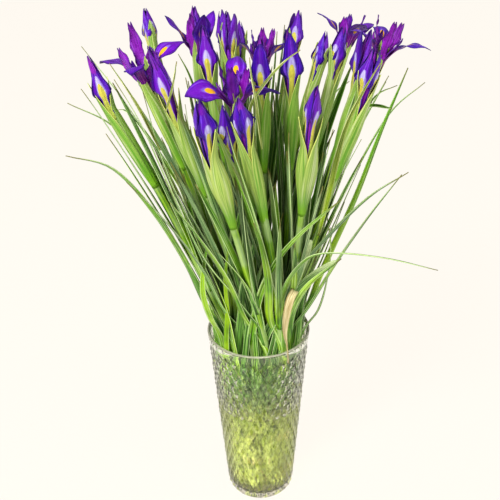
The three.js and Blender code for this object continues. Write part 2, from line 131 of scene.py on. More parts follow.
@dataclass
class Path:
    """A middle line with the way its upper face looks: rows of points and of directions."""

    points: Array
    uppers: Array
    steps: int = 64
    aheads: Array = field(init=False)

    def __post_init__(self) -> None:
        """Spaces the points evenly and squares the upper directions to the line."""
        gaps = np.linalg.norm(np.diff(self.points, axis=0), axis=1)
        reach = np.concatenate([[0.0], np.cumsum(gaps)])
        even = np.linspace(0.0, reach[-1], self.steps + 1)
        self.points = np.stack([np.interp(even, reach, c) for c in self.points.T], axis=1)
        self.uppers = np.stack([np.interp(even, reach, c) for c in self.uppers.T], axis=1)
        self.aheads = unit(np.gradient(self.points, axis=0))
        inline = np.sum(self.uppers * self.aheads, axis=1, keepdims=True)
        self.uppers = unit(self.uppers - inline * self.aheads)

    def read(self, t: Array) -> tuple[Array, Array, Array]:
        """Reads the line.

        Args:
            t: Where to read, 0 to 1.

        Returns:
            Points, sideways directions and upper directions.
        """
        aheads = unit(ease(self.aheads, t))
        uppers = unit(ease(self.uppers, t))
        return ease(self.points, t), np.cross(aheads, uppers), uppers


@dataclass(frozen=True)
class Outline:
    """The shape of a leaf or petal, root to tip.

    Attributes:
        widths: Widths measured round the cross-section.
        cups: The angles in radians that the cross-section bends through, which lifts the edges
            towards the upper face.
        ruffle: How far the edges wave up and down.
        waves: How many waves there are.
        notch: How much shorter the middle of the tip is, as a share of the length.
        rounding: How much shorter the edges are than the middle, as a share of the length.
        twist: How far the sheet is turned from root to tip, in radians.
        ragged: How uneven the width is, as a share of it.
    """

    widths: tuple[float, ...]
    cups: tuple[float, ...]
    ruffle: float = 0.0
    waves: float = 5.0
    notch: float = 0.0
    rounding: float = 0.0
    twist: float = 0.0
    ragged: float = 0.0

    def on(self, path: Path, seed: float = 0.0, roll: float = 0.0) -> Surface:
        """The surface of this shape along a path; seed shifts its waves and roll tips it over."""
        return partial(self.skin, path, seed, roll)

    def skin(self, path: Path, seed: float, roll: float, u: Array, v: Array) -> Array:
        """Finds points of this shape laid along a path.

        Args:
            path: The middle line.
            seed: Shifts the waves.
            roll: How far the blade tips over, in degrees.
            u: Places across, -1 to 1.
            v: Places along, 0 to 1.

        Returns:
            The points.
        """
        middle = self.notch * np.exp(-((u / 0.3) ** 2))
        t = v * (1.0 - middle - self.rounding * np.abs(u) ** 4)
        points, sides, uppers = path.read(t)
        turn = self.twist * t + math.radians(roll) * smooth(0.15, 0.6, t)
        aheads = np.cross(uppers, sides)
        sides, uppers = rotated(sides, aheads, turn), rotated(uppers, aheads, turn)
        torn = np.sin(23 * v + seed + 2 * np.sign(u)) + 0.7 * np.sin(57 * v + 3 * seed - np.sign(u))
        half = np.maximum(ease(self.widths, v) * (1 + self.ragged * torn * np.abs(u)), 0.05) / 2
        angle = ease(self.cups, t) * u / 2
        sideways = half * u * np.sinc(angle / math.pi)
        lift = half * u * (angle / 2) * np.sinc(angle / 2 / math.pi) ** 2
        wave = np.sin(self.waves * 2 * math.pi * t + seed + np.sign(u) * 1.3)
        lift = lift + self.ruffle * np.abs(u) ** 2 * wave * np.sin(math.pi * np.clip(t, 0, 1)) ** 0.5
        return points + sides * sideways[:, None] + uppers * lift[:, None]


# ---- Meshes ------------------------------------------------------------------------------------


def deselect() -> None:
    """Nothing is selected."""
    bpy.ops.object.select_all(action="DESELECT")


@dataclass
class SheetStock:
    """Flat grids from which stems, leaves and petals are cut. Each size is made once and copied."""

    grids: dict[Grid, Piece] = field(default_factory=dict)

    def cut(self, grid: Grid, surface: Surface, finish: Finish, tone: float) -> Piece:
        """Copies a grid and lays it on a surface.

        Args:
            grid: Faces across the sheet and along it.
            surface: Gives points in millimetres for u, -1 to 1 across, and v, 0 to 1 along.
            finish: The finish it wears.
            tone: 0 to 1, how light this one is among its neighbours.

        Returns:
            The new sheet, with its own mesh.
        """
        if grid not in self.grids:
            deselect()
            bpy.ops.mesh.primitive_grid_add(x_subdivisions=grid[0], y_subdivisions=grid[1], size=2.0)
            self.grids[grid] = bpy.context.object
        sheet = self.grids[grid].copy()
        sheet.data = sheet.data.copy()
        bpy.context.collection.objects.link(sheet)
        flat = np.empty(len(sheet.data.vertices) * 3)
        sheet.data.vertices.foreach_get("co", flat)
        flat = flat.reshape(-1, 3)
        points = surface(flat[:, 0], (flat[:, 1] + 1) / 2) * MM
        sheet.data.vertices.foreach_set("co", points.ravel())
        marks = sheet.data.attributes.new("tone", "FLOAT", "POINT")
        marks.data.foreach_set("value", np.full(len(points), tone, dtype=np.float32))
        sheet.data.materials.append(finish.material())
        return sheet

    def put_away(self) -> None:
        """Deletes the flat grids."""
        for grid in self.grids.values():
            bpy.data.objects.remove(grid)
        self.grids.clear()


def assemble(name: str, sheets: list[Piece], thickness: float) -> Piece:
    """Joins sheets into one piece.

    Args:
        name: The piece's name.
        sheets: What it is made of.
        thickness: Thickness given to the sheets in millimetres, or 0 for closed bodies.

    Returns:
        The finished piece.
    """
    deselect()
    for sheet in sheets:
        sheet.select_set(True)
    bpy.context.view_layer.objects.active = sheets[0]
    if len(sheets) > 1:
        bpy.ops.object.join()
    piece = bpy.context.object
    piece.name = piece.data.name = name
    bpy.ops.object.mode_set(mode="EDIT")
    bpy.ops.mesh.select_all(action="SELECT")
    bpy.ops.mesh.remove_doubles(threshold=0.02 * MM)
    bpy.ops.object.mode_set(mode="OBJECT")
    if thickness:
        wall = piece.modifiers.new("wall", "SOLIDIFY")
        wall.thickness = thickness * MM
        wall.offset = 0.0
        bpy.ops.object.modifier_apply(modifier="wall")
    bpy.ops.object.shade_smooth()
    return piece


# ---- Finishes ----------------------------------------------------------------------------------


def linear(code: str) -> tuple[float, float, float, float]:
    """Turns a colour such as "4b10a0" into the numbers that a shader takes.

    Args:
        code: Red, green and blue, two hexadecimal digits each.

    Returns:
        Linear red, green and blue, and full opacity.
    """
    parts = [int(code[i : i + 2], 16) / 255 for i in (0, 2, 4)]
    parts = [c / 12.92 if c <= 0.04045 else ((c + 0.055) / 1.055) ** 2.4 for c in parts]
    return (*parts, 1.0)


class Recipe:
    """The nodes of one material. A value is a number, a colour code or another node's socket.

    Attributes:
        soaked_green: The dark patches under water.
        soaked_pink: The pinkish ones.
        dry_above: Where the soaked colour ends.
        soaked_below: Where it is full.
        soaked_unevenness: How far its edge wanders.
        neck_radius: The bunch's radius at the rim of the vase.
        neck_level: The height of the rim, about.
        bunch_flare: How much the radius grows with each millimetre over it.
        least_radius: The radius of the stems in the vase.
        fading: The heights between which the painted shade in the middle of the bunch fades.
        apart: How far apart in the noise the streaks of two sheets are read.
    """

    soaked_green = "7e9430"
    soaked_pink = "f6dccc"
    dry_above = 190.0
    soaked_below = 100.0
    soaked_unevenness = 50.0
    neck_radius = 42.0
    neck_level = 190.0
    bunch_flare = 0.3
    least_radius = 36.0
    fading = (260.0, 360.0)
    apart = 37.0

    def __init__(self, name: str) -> None:
        """Starts a material with its plain shader.

        Args:
            name: The material's name.
        """
        self.material = bpy.data.materials.new(name)
        self.material.use_nodes = True
        self.tree = self.material.node_tree
        self.shader = self.tree.nodes["Principled BSDF"]

    def node(self, kind: str, **settings: object) -> bpy.types.Node:
        """Adds a node.

        Args:
            kind: Its type.
            **settings: Its own properties.

        Returns:
            The node.
        """
        made = self.tree.nodes.new(kind)
        for key, value in settings.items():
            setattr(made, key, value)
        return made

    def feed(self, socket: Socket, value: Value) -> None:
        """Links a socket to another one, or sets its number or colour.

        Args:
            socket: What is fed.
            value: What it gets.
        """
        if isinstance(value, bpy.types.NodeSocket):
            self.tree.links.new(value, socket)
        else:
            socket.default_value = linear(value) if isinstance(value, str) else value

    def set(self, **values: Value) -> None:
        """Feeds the shader's sockets, named with _ for spaces."""
        for key, value in values.items():
            self.feed(self.shader.inputs[key.replace("_", " ")], value)

    def math(self, operation: str, a: Value, b: Value = 0.0, clamp: bool = False) -> Socket:
        """Works one sum out.

        Args:
            operation: The kind of sum.
            a: The first number.
            b: The second number, where the sum has one.
            clamp: Whether the result is kept from 0 to 1.

        Returns:
            The result.
        """
        made = self.node("ShaderNodeMath", operation=operation, use_clamp=clamp)
        self.feed(made.inputs[0], a)
        self.feed(made.inputs[1], b)
        return made.outputs[0]

    def times(self, first: Value, *others: Value) -> Value:
        """Multiplies numbers.

        Args:
            first: The first number.
            *others: The others.

        Returns:
            The product.
        """
        for other in others:
            first = self.math("MULTIPLY", first, other)
        return first

    def plus(self, a: Value, b: Value) -> Socket:
        """The sum of two numbers."""
        return self.math("ADD", a, b)

    def less(self, a: Value, b: Value) -> Socket:
        """Number a less number b."""
        return self.math("SUBTRACT", a, b)

    def step(self, value: Value, low: float, high: float) -> Socket:
        """An S-curve.

        Args:
            value: What is measured.
            low: Where the curve is 0.
            high: Where it is 1, over or under low.

        Returns:
            The curve's height, 0 to 1.
        """
        made = self.node("ShaderNodeMapRange", interpolation_type="SMOOTHSTEP")
        self.feed(made.inputs["Value"], value)
        made.inputs["From Min"].default_value = low
        made.inputs["From Max"].default_value = high
        return made.outputs["Result"]

    def mix(self, share: Value, a: Value, b: Value, strength: float = 1.0) -> Socket:
        """Lays one colour over another.

        Args:
            share: Where the upper colour lies, 0 to 1.
            a: The colour under it.
            b: The colour that is laid over.
            strength: How well the upper colour covers where share is 1.

        Returns:
            The colour.
        """
        made = self.node("ShaderNodeMix", data_type="RGBA")
        self.feed(made.inputs["Factor"], share if strength == 1.0 else self.times(share, strength))
        self.feed(made.inputs["A"], a)
        self.feed(made.inputs["B"], b)
        return made.outputs["Result"]

    def sheet_place(self) -> tuple[Socket, Socket]:
        """Reads the place on a leaf or petal from its UV map.

        Returns:
            Place across and place along, both 0 to 1.
        """
        uv = self.node("ShaderNodeUVMap", uv_map="UVMap")
        parts = self.node("ShaderNodeSeparateXYZ")
        self.feed(parts.inputs[0], uv.outputs[0])
        return parts.outputs["X"], parts.outputs["Y"]

    def off_middle(self, across: Socket) -> Socket:
        """How far a place is from the middle line towards an edge, 0 to 1."""
        return self.times(self.math("ABSOLUTE", self.less(across, 0.5)), 2.0)

    def place(self) -> tuple[Socket, Socket, Socket]:
        """Reads the place on the object.

        Returns:
            Right, back and up from the middle of the vase's foot, in millimetres.
        """
        scaled = self.node("ShaderNodeVectorMath", operation="SCALE")
        self.feed(scaled.inputs[0], self.node("ShaderNodeTexCoord").outputs["Object"])
        self.feed(scaled.inputs["Scale"], 1 / MM)
        parts = self.node("ShaderNodeSeparateXYZ")
        self.feed(parts.inputs[0], scaled.outputs[0])
        return parts.outputs["X"], parts.outputs["Y"], parts.outputs["Z"]

    def tone(self) -> Socket:
        """This leaf's or petal's own lightness, 0 to 1."""
        return self.node("ShaderNodeAttribute", attribute_name="tone").outputs["Fac"]

    def noise(self, place: Socket, scale: float, detail: float) -> Socket:
        """Makes a soft random pattern.

        Args:
            place: Where it is read.
            scale: How many patches a unit of the place holds.
            detail: How much finer pattern lies in it.

        Returns:
            Lightness, 0 to 1.
        """
        made = self.node("ShaderNodeTexNoise")
        self.feed(made.inputs["Vector"], place)
        made.inputs["Scale"].default_value = scale
        made.inputs["Detail"].default_value = detail
        return made.outputs["Fac"]

    def patches(self, scale: float) -> Socket:
        """Soft patches fixed to the piece, with a scale per metre."""
        return self.noise(self.node("ShaderNodeTexCoord").outputs["Object"], scale, 3.0)

    def streaks(self, across: Socket, along: Socket, count: float, drift: float) -> Socket:
        """Makes fine lines that run from root to tip, other ones on each sheet.

        Args:
            across: Place across, 0 to 1.
            along: Place along, 0 to 1.
            count: About how many lines there are.
            drift: How much they change on their way.

        Returns:
            Lightness, 0 to 1.
        """
        place = self.node("ShaderNodeCombineXYZ")
        self.feed(place.inputs["X"], self.times(across, count))
        self.feed(place.inputs["Y"], self.times(along, drift))
        self.feed(place.inputs["Z"], self.times(self.tone(), self.apart))
        return self.noise(place.outputs[0], 1.0, 2.0)

    def painted_shade_inside(self, colour: Socket, shade: str, strength: float) -> Socket:
        """Paints shade into a colour in the middle of the bunch, where the outer stems and leaves shade it,
        less so higher up.

        Args:
            colour: The colour at the outside of the bunch.
            shade: The painted shade colour in its middle.
            strength: How well the shade covers.

        Returns:
            The colour.
        """
        x, y, z = self.place()
        out = self.math("SQRT", self.plus(self.times(x, x), self.times(y, y)))
        flare = self.times(self.less(z, self.neck_level), self.bunch_flare)
        radius = self.math("MAXIMUM", self.plus(flare, self.neck_radius), self.least_radius)
        # Painted shade: darker towards the bunch's middle, fading with height.
        inside = self.step(self.math("DIVIDE", out, radius), 0.9, 0.4)
        lighter = self.less(1.0, self.times(self.step(z, *self.fading), 0.4))
        return self.mix(self.times(inside, lighter), colour, shade, strength)

    def soaked(self, colour: Socket, pale: str, strength: float) -> Socket:
        """Gives a colour a pale one under water, with darker green and pinkish patches.

        Args:
            colour: The colour over the water.
            pale: The colour under it.
            strength: How well the pale colour covers.

        Returns:
            The colour, with an uneven edge between the two.
        """
        under = self.mix(self.step(self.patches(85.0), 0.5, 0.62), pale, self.soaked_green, 0.5)
        under = self.mix(self.step(self.patches(60.0), 0.44, 0.34), under, self.soaked_pink, 0.9)
        height = self.plus(self.place()[2], self.times(self.patches(40.0), self.soaked_unevenness))
        return self.mix(self.step(height, self.dry_above, self.soaked_below), colour, under, strength)

    def relief(self, height: Socket, depth: float) -> None:
        """Bumps of a depth in millimetres on the shader.

        Args:
            height: The pattern of the bumps, 0 to 1.
            depth: How deep they are.
        """
        made = self.node("ShaderNodeBump")
        made.inputs["Distance"].default_value = depth * MM
        made.inputs["Strength"].default_value = 1.0
        self.feed(made.inputs["Height"], height)
        self.feed(self.shader.inputs["Normal"], made.outputs[0])


class Finish:
    """A finish that is made once and then worn by many pieces."""

    name: str

    def material(self) -> bpy.types.Material:
        """The finish's material, made when it is first asked for."""
        return bpy.data.materials.get(self.name) or self.mixed()

    def mixed(self) -> bpy.types.Material:
        """Builds the material."""
        raise NotImplementedError


@dataclass(frozen=True)
class LeafFinish(Finish):
    """Narrow leaf: parallel veins, a grey bloom in patches, painted shade in dark bands and in the middle of
    the bunch, painted highlights in pale bands, pale margins with painted glints, a fresher foot and a dry
    tip.
    """

    name: str = "leaf"
    deep: str = "144c02"
    bright: str = "80c41e"
    bloom_deep: str = "527650"
    bloom: str = "bcd0a8"
    fresh: str = "b4da22"
    # Pale margins, lightened to be painted glints along the edges.
    margin_and_glint: str = "d6e8ae"
    # The pale band colour is a painted highlight, and shade is the painted shade colour.
    painted_highlight: str = "d2ec9c"
    shade: str = "082c00"
    wet: str = "dedfb4"
    tip: str = "77753a"
    bloom_share: float = 0.75
    fresh_levels: tuple[float, float] = (360.0, 220.0)
    vein_depth: float = 0.5

    def mixed(self) -> bpy.types.Material:
        """Builds the material.

        Returns:
            The material.
        """
        r = Recipe(self.name)
        across, along = r.sheet_place()
        off, tone = r.off_middle(across), r.tone()
        veins, bands = r.streaks(across, along, 24.0, 3.0), r.streaks(across, along, 7.0, 2.2)
        lines = r.step(veins, 0.3, 0.7)
        low = r.math("MAXIMUM", r.step(along, 0.5, 0.1), r.step(r.place()[2], *self.fresh_levels))

        # Green, under a bloom that is thinner low down.
        patch = r.step(r.plus(r.patches(26.0), r.times(tone, 0.6)), 0.62, 0.95)
        bloom = r.times(patch, r.less(1.0, r.times(low, 0.7)))
        grey = r.mix(lines, self.bloom_deep, self.bloom)
        colour = r.mix(bloom, r.mix(lines, self.deep, self.bright), grey, self.bloom_share)

        # Painted shade in dark bands, fresh patches, and painted highlights in pale bands.
        colour = r.mix(r.step(bands, 0.48, 0.34), colour, self.shade, 0.85)
        young = r.step(r.less(r.patches(19.0), r.times(tone, 0.25)), 0.34, 0.6)
        colour = r.mix(r.times(young, r.plus(r.times(low, 0.65), 0.25)), colour, self.fresh)
        colour = r.mix(r.step(bands, 0.54, 0.68), colour, self.painted_highlight, 0.75)

        # Rib, pale margins that are also painted glints, painted shade in the middle of the bunch, and tip.
        colour = r.mix(r.step(off, 0.14, 0.02), colour, self.deep, 0.55)
        colour = r.mix(r.step(off, 0.8, 0.96), colour, self.margin_and_glint, 0.7)
        colour = r.painted_shade_inside(colour, self.shade, 0.8)
        dry = r.step(r.plus(along, r.times(tone, 0.05)), 0.93, 1.02)
        colour = r.soaked(r.mix(dry, colour, self.tip), self.wet, 0.8)
        r.set(Base_Color=colour, Roughness=0.3, Specular_IOR_Level=0.3)
        r.relief(veins, self.vein_depth)
        return r.material


@dataclass(frozen=True)
class StemFinish(Finish):
    """Round stem: fresh green with a grey bloom in patches, painted shade inside the bunch, pale under water.
    """

    name: str = "stem"
    deep: str = "2e6e0a"
    bright: str = "a4c830"
    bloom: str = "a8bc8a"
    shade: str = "123e04"
    wet: str = "e2e3b6"
    line_depth: float = 0.15

    def mixed(self) -> bpy.types.Material:
        """Builds the material.

        Returns:
            The material.
        """
        r = Recipe(self.name)
        lines = r.streaks(*r.sheet_place(), 14.0, 6.0)
        colour = r.mix(r.step(lines, 0.25, 0.75), self.deep, self.bright)
        colour = r.mix(r.step(r.patches(34.0), 0.4, 0.62), colour, self.bloom, 0.6)
        # Painted shade in the middle of the bunch, then the pale colour under water.
        colour = r.soaked(r.painted_shade_inside(colour, self.shade, 0.7), self.wet, 0.85)
        r.set(Base_Color=colour, Roughness=0.3, Specular_IOR_Level=0.35)
        r.relief(lines, self.line_depth)
        return r.material


@dataclass(frozen=True)
class SheathFinish(Finish):
    """The sheath's two valves: pale green with fine parallel veins, darker low down, with thin edges."""

    name: str = "sheath"
    base: str = "52981e"
    body: str = "b2c668"
    vein: str = "5c8a2a"
    bloom: str = "c8d29e"
    edge: str = "d8dc80"
    root: str = "7cae2a"
    vein_depth: float = 0.5

    def mixed(self) -> bpy.types.Material:
        """Builds the material.

        Returns:
            The material.
        """
        r = Recipe(self.name)
        across, along = r.sheet_place()
        veins, bands = r.streaks(across, along, 44.0, 2.0), r.streaks(across, along, 9.0, 1.2)

        # A body that some sheaths wear darker, with pale and green bands and fine veins.
        colour = r.mix(r.tone(), self.body, self.base, 0.75)
        colour = r.mix(r.step(bands, 0.48, 0.64), colour, self.bloom, 0.75)
        colour = r.mix(r.step(bands, 0.45, 0.3), colour, self.base, 0.7)
        colour = r.mix(r.step(veins, 0.56, 0.3), colour, self.vein, 0.8)

        # Greener towards the stem; its ridge and the edges of its bract are pale.
        colour = r.mix(r.step(along, 0.4, 0.0), colour, self.base, 0.8)
        colour = r.mix(r.step(along, 0.22, 0.04), colour, self.root)
        off = r.off_middle(across)
        colour = r.mix(r.step(off, 0.06, 0.016), colour, self.edge, 0.5)
        edge = r.times(r.step(off, 0.86, 0.98), r.step(along, 0.5, 0.7))
        colour = r.mix(edge, colour, self.edge, 0.8)
        r.set(Base_Color=colour, Roughness=0.36, Specular_IOR_Level=0.3)
        r.relief(veins, self.vein_depth)
        return r.material


@dataclass(frozen=True)
class PetalFinish(Finish):
    """Velvety petal: fine darker veins, a painted sheen highlight and painted shade along its folds, painted
    shade along its edges, a darker tip and, on a fall, a yellow flame up its middle.
    """

    name: str
    deep: str = "26047c"
    bright: str = "5608c0"
    flush: str = "7a12b4"
    flush_share: float = 0.6
    # The pale and ink colours paint a sheen highlight and shade along the folds; ink also paints shade along
    # the edges.
    pale: str = "8a5ae0"
    ink_and_shade: str = "1a0450"
    sheen: str = "b8a0ff"
    halo: str = "c6c4f0"
    flame: str = "cec454"
    flame_root: str = "a8b450"
    flame_from: float = -1.0
    flame_to: float = 0.5
    flame_half: float = 0.3
    halo_half: float = 0.1
    claw: str = "6e1276"
    stripe: str = "d878cc"
    stripes: float = 0.0
    vein_depth: float = 0.5

    def mixed(self) -> bpy.types.Material:
        """Builds the material.

        Returns:
            The material.
        """
        r = Recipe(self.name)
        across, along = r.sheet_place()
        side = r.off_middle(across)
        veins, painted_folds = r.streaks(across, along, 30.0, 2.5), r.streaks(across, along, 8.0, 1.6)
        colour = r.mix(r.step(veins, 0.28, 0.72), self.deep, self.bright)
        warm = r.step(r.plus(r.patches(60.0), r.tone()), 0.6, 1.3)
        colour = r.mix(warm, colour, self.flush, self.flush_share)
        # Pale streaks along the folds are a painted sheen highlight, dark ones painted shade in them.
        colour = r.mix(r.step(painted_folds, 0.54, 0.7), colour, self.pale, 0.6)
        colour = r.mix(r.step(painted_folds, 0.46, 0.3), colour, self.ink_and_shade, 0.75)
        colour = r.mix(r.step(side, 0.75, 0.1), colour, self.flush, 0.35)
        # Painted shade along the edges, and a darker tip.
        colour = r.mix(r.step(side, 0.8, 1.0), colour, self.ink_and_shade, 0.7)
        colour = r.mix(r.step(along, 0.9, 1.0), colour, self.ink_and_shade, 0.6)
        if self.stripes:
            colour = self.striped(r, across, along, colour)
        if self.flame_half:
            colour = self.flamed(r, side, along, veins, colour)
        r.set(Base_Color=colour, Roughness=0.4, Specular_IOR_Level=0.3)
        r.set(Sheen_Weight=0.22, Sheen_Roughness=0.35, Sheen_Tint=self.sheen)
        r.relief(r.plus(veins, r.times(r.patches(300.0), 1.5)), self.vein_depth)
        return r.material

    def striped(self, r: Recipe, across: Socket, along: Socket, colour: Socket) -> Socket:
        """Lays the claw's own colour and its pale stripes over the lower half.

        Args:
            r: The recipe.
            across: Place across, 0 to 1.
            along: Place along, 0 to 1.
            colour: The petal's colour.

        Returns:
            The colour.
        """
        claw = r.step(along, 0.56, 0.42)
        colour = r.mix(claw, colour, self.claw, 0.8)
        lines = r.step(r.streaks(across, along, 9.0, 0.6), 0.52, 0.66)
        return r.mix(r.times(lines, claw), colour, self.stripe, self.stripes)

    def flamed(self, r: Recipe, side: Socket, along: Socket, veins: Socket, colour: Socket) -> Socket:
        """Lays the flame and the pale halo round its top over the petal.

        Args:
            r: The recipe.
            side: Place from the middle to an edge, 0 to 1.
            along: Place along, 0 to 1.
            veins: The veins, which make the flame's edge ragged.
            colour: The petal's colour.

        Returns:
            The colour.
        """
        ragged = r.times(r.less(veins, 0.5), 0.14)
        near = r.plus(self.beyond(r, side, along, 0.12), r.times(ragged, 2.0))
        high = r.step(along, self.flame_to * 0.4, self.flame_to * 0.9)
        fibres = r.plus(r.times(r.step(veins, 0.35, 0.6), 0.5), 0.5)
        glow = r.times(r.step(near, self.halo_half, -0.16), high, fibres)
        colour = r.mix(glow, colour, self.halo, 0.8)
        yellow = r.mix(r.step(along, 0.42, 0.15), self.flame, self.flame_root)
        yellow = r.mix(r.step(veins, 0.5, 0.3), yellow, self.flame_root, 0.25)
        inner = r.step(r.plus(self.beyond(r, side, along, 0.0), ragged), 0.03, -0.05)
        return r.mix(inner, colour, yellow)

    def beyond(self, r: Recipe, side: Socket, along: Socket, taller: float) -> Socket:
        """Measures how far outside the flame a place is.

        A flame that starts at the root is a tongue, and one that starts on the blade is a drop.

        Args:
            r: The recipe.
            side: Place from the middle to an edge, 0 to 1.
            along: Place along, 0 to 1.
            taller: How much longer than its own length the flame is taken.

        Returns:
            About 0 on the flame's edge and less inside it.
        """
        top = self.flame_to + taller
        if self.flame_from > 0:
            middle, reach = (self.flame_from + self.flame_to) / 2, (top - self.flame_from) / 2
            up = r.math("POWER", r.math("DIVIDE", r.less(along, middle), reach), 2.0)
            out = r.math("POWER", r.math("DIVIDE", side, self.flame_half), 2.0)
            return r.times(r.less(r.plus(up, out), 1.0), 0.3)
        left = r.math("DIVIDE", r.less(top, along), top, clamp=True)
        width = r.less(r.times(r.math("POWER", left, 0.4), self.flame_half + 0.05), 0.05)
        return r.less(side, width)


@dataclass(frozen=True)
class DriedFinish(Finish):
    """A withered leaf: tan with darker veins."""

    name: str = "dried_leaf"
    vein: str = "9c8a5c"
    body: str = "ded2a6"
    vein_depth: float = 0.3

    def mixed(self) -> bpy.types.Material:
        """Builds the material.

        Returns:
            The material.
        """
        r = Recipe(self.name)
        veins = r.streaks(*r.sheet_place(), 18.0, 4.0)
        r.set(Base_Color=r.mix(r.step(veins, 0.3, 0.7), self.vein, self.body), Roughness=0.75)
        r.relief(veins, self.vein_depth)
        return r.material


@dataclass(frozen=True)
class LipFinish(Finish):
    """The vase's lip: the same glass, a little dull, with a painted reflection in pale beige-grey patches."""

    name: str = "painted_lip"
    colour: str = "dad8c2"
    darker_reflection: str = "b4b49c"

    def mixed(self) -> bpy.types.Material:
        """Builds the material.

        Returns:
            The material.
        """
        r = Recipe(self.name)
        # Painted reflection: pale beige-grey patches stand in for what the lip band shows.
        colour = r.mix(r.patches(90.0), self.colour, self.darker_reflection)
        r.set(Base_Color=colour, Roughness=0.22, IOR=GLASS_BENDING, Transmission_Weight=0.5)
        return r.material


@dataclass(frozen=True)
class ClearFinish(Finish):
    """Glass or water: light bends through it, and lamps still reach what stands in it."""

    name: str
    colour: str
    bending: float

    def mixed(self) -> bpy.types.Material:
        """Builds the material.

        Returns:
            The material.
        """
        r = Recipe(self.name)
        self.cut(r)
        r.set(Roughness=0.0, IOR=self.bending, Transmission_Weight=1.0)
        clear = r.node("ShaderNodeBsdfTransparent")
        r.feed(clear.inputs["Color"], self.colour)
        both = r.node("ShaderNodeMixShader")
        r.feed(both.inputs[0], r.node("ShaderNodeLightPath").outputs["Is Shadow Ray"])
        r.feed(both.inputs[1], r.shader.outputs[0])
        r.feed(both.inputs[2], clear.outputs[0])
        r.feed(r.tree.nodes["Material Output"].inputs["Surface"], both.outputs[0])
        return r.material

    def cut(self, r: Recipe) -> None:
        """Colours the surface, and leaves it plain."""
        r.set(Base_Color=self.colour)


@dataclass(frozen=True)
class DiamondCut:
    """The lattice of large grooves round the vase, which its body and its glass share."""

    columns: int = 30
    rows: int = 20
    low: float = 4.5
    high: float = 190.0
    depth: float = 1.3

    @property
    def rise(self) -> float:
        """The height of a row."""
        return (self.high - self.low) / self.rows


@dataclass(frozen=True)
class CutGlassFinish(ClearFinish):
    """The vase's glass: fine lines between the large cuts, painted shade in the grooves, painted dark and
    pale reflections on the heel, and a painted reflection in a tint of its own for each small facet.

    The cut has two ways, up to the right and up to the left, which count the large grooves that a
    place has passed.
    """

    lattice: DiamondCut = DiamondCut()
    fine: float = 2.0
    tiny: float = 6.0
    line_depth: float = 0.14
    # The facet tints are painted reflections, and the two edge colours painted glints and groove shade.
    grey: str = "b2b9a4"
    green: str = "dfe6a0"
    deep_green: str = "a4b04a"
    edge: str = "b4ba8c"
    dark_glint_above_water: str = "444c38"
    # The heel colours are painted dark and pale reflections.
    heel: str = "222a18"
    heel_pale: str = "c0cc6a"
    heel_grey: str = "b0a894"
    heel_levels: tuple[float, float] = (22.0, 6.0)
    water_levels: tuple[float, float] = (105.0, 130.0)

    def cut(self, r: Recipe) -> None:
        """Paints reflections and shade on the surface and cuts the fine lines.

        Args:
            r: The recipe.
        """
        x, y, height = r.place()
        turn = r.times(r.math("ARCTAN2", y, x), self.lattice.columns / (2 * math.pi))
        up = r.times(r.less(height, self.lattice.low), 1 / (2 * self.lattice.rise))
        ways = [r.plus(turn, up), r.less(turn, up)]
        facet, tiny = self.facet(r, ways, self.fine), self.facet(r, ways, self.tiny)

        # Painted reflections: facets in four tints, and smaller ones with painted glints that are darker over
        # the water.
        colour = r.mix(r.step(facet, 0.62, 0.66), self.colour, self.grey, 0.7)
        colour = r.mix(r.step(facet, 0.34, 0.3), colour, self.green, 0.7)
        colour = r.mix(r.step(facet, 0.12, 0.09), colour, self.deep_green, 0.8)
        edge = r.mix(r.step(height, *self.water_levels), self.edge, self.dark_glint_above_water)
        colour = r.mix(r.step(tiny, 0.74, 0.78), colour, edge, 0.5)
        colour = r.mix(r.step(tiny, 0.3, 0.26), colour, self.colour, 0.8)

        # The large grooves: painted shade beside a clear line.
        colour = r.mix(self.lines(r, ways, 1.0, 0.5), colour, edge, 0.5)
        colour = r.mix(self.lines(r, ways, 1.0, 0.24), colour, self.colour)

        # The heel in painted dark and pale reflections, and the plain band under the lip.
        heel = r.mix(r.step(facet, 0.36, 0.4), self.heel_pale, self.heel_grey)
        heel = r.mix(r.step(tiny, 0.7, 0.74), heel, self.heel)
        colour = r.mix(r.step(height, *self.heel_levels), colour, heel)
        plain = r.step(height, self.lattice.high - 2.0, self.lattice.high + 1.0)
        r.set(Base_Color=r.mix(plain, colour, self.colour))
        r.relief(r.times(self.lines(r, ways, self.fine, 1.0), r.less(1.0, plain)), self.line_depth)

    def facet(self, r: Recipe, ways: list[Socket], parts: float) -> Socket:
        """Gives each facet a random number.

        Args:
            r: The recipe.
            ways: The two ways of the cut.
            parts: How many facets lie between two large grooves.

        Returns:
            The number, 0 to 1.
        """
        cell = r.node("ShaderNodeCombineXYZ")
        for axis, way in zip("XY", ways):
            r.feed(cell.inputs[axis], r.math("FLOOR", r.times(way, parts)))
        random = r.node("ShaderNodeTexWhiteNoise", noise_dimensions="3D")
        r.feed(random.inputs["Vector"], cell.outputs[0])
        return random.outputs["Value"]

    def lines(self, r: Recipe, ways: list[Socket], parts: float, width: float) -> Socket:
        """Draws lines both ways.

        Args:
            r: The recipe.
            ways: The two ways of the cut.
            parts: How many lines there are for each large groove.
            width: How wide they are, 0 to 1.

        Returns:
            1 on a line and 0 beside it.
        """
        waves = [r.math("ABSOLUTE", r.math("SINE", r.times(way, parts * math.pi))) for way in ways]
        return r.step(r.math("MINIMUM", *waves), width, 0.0)


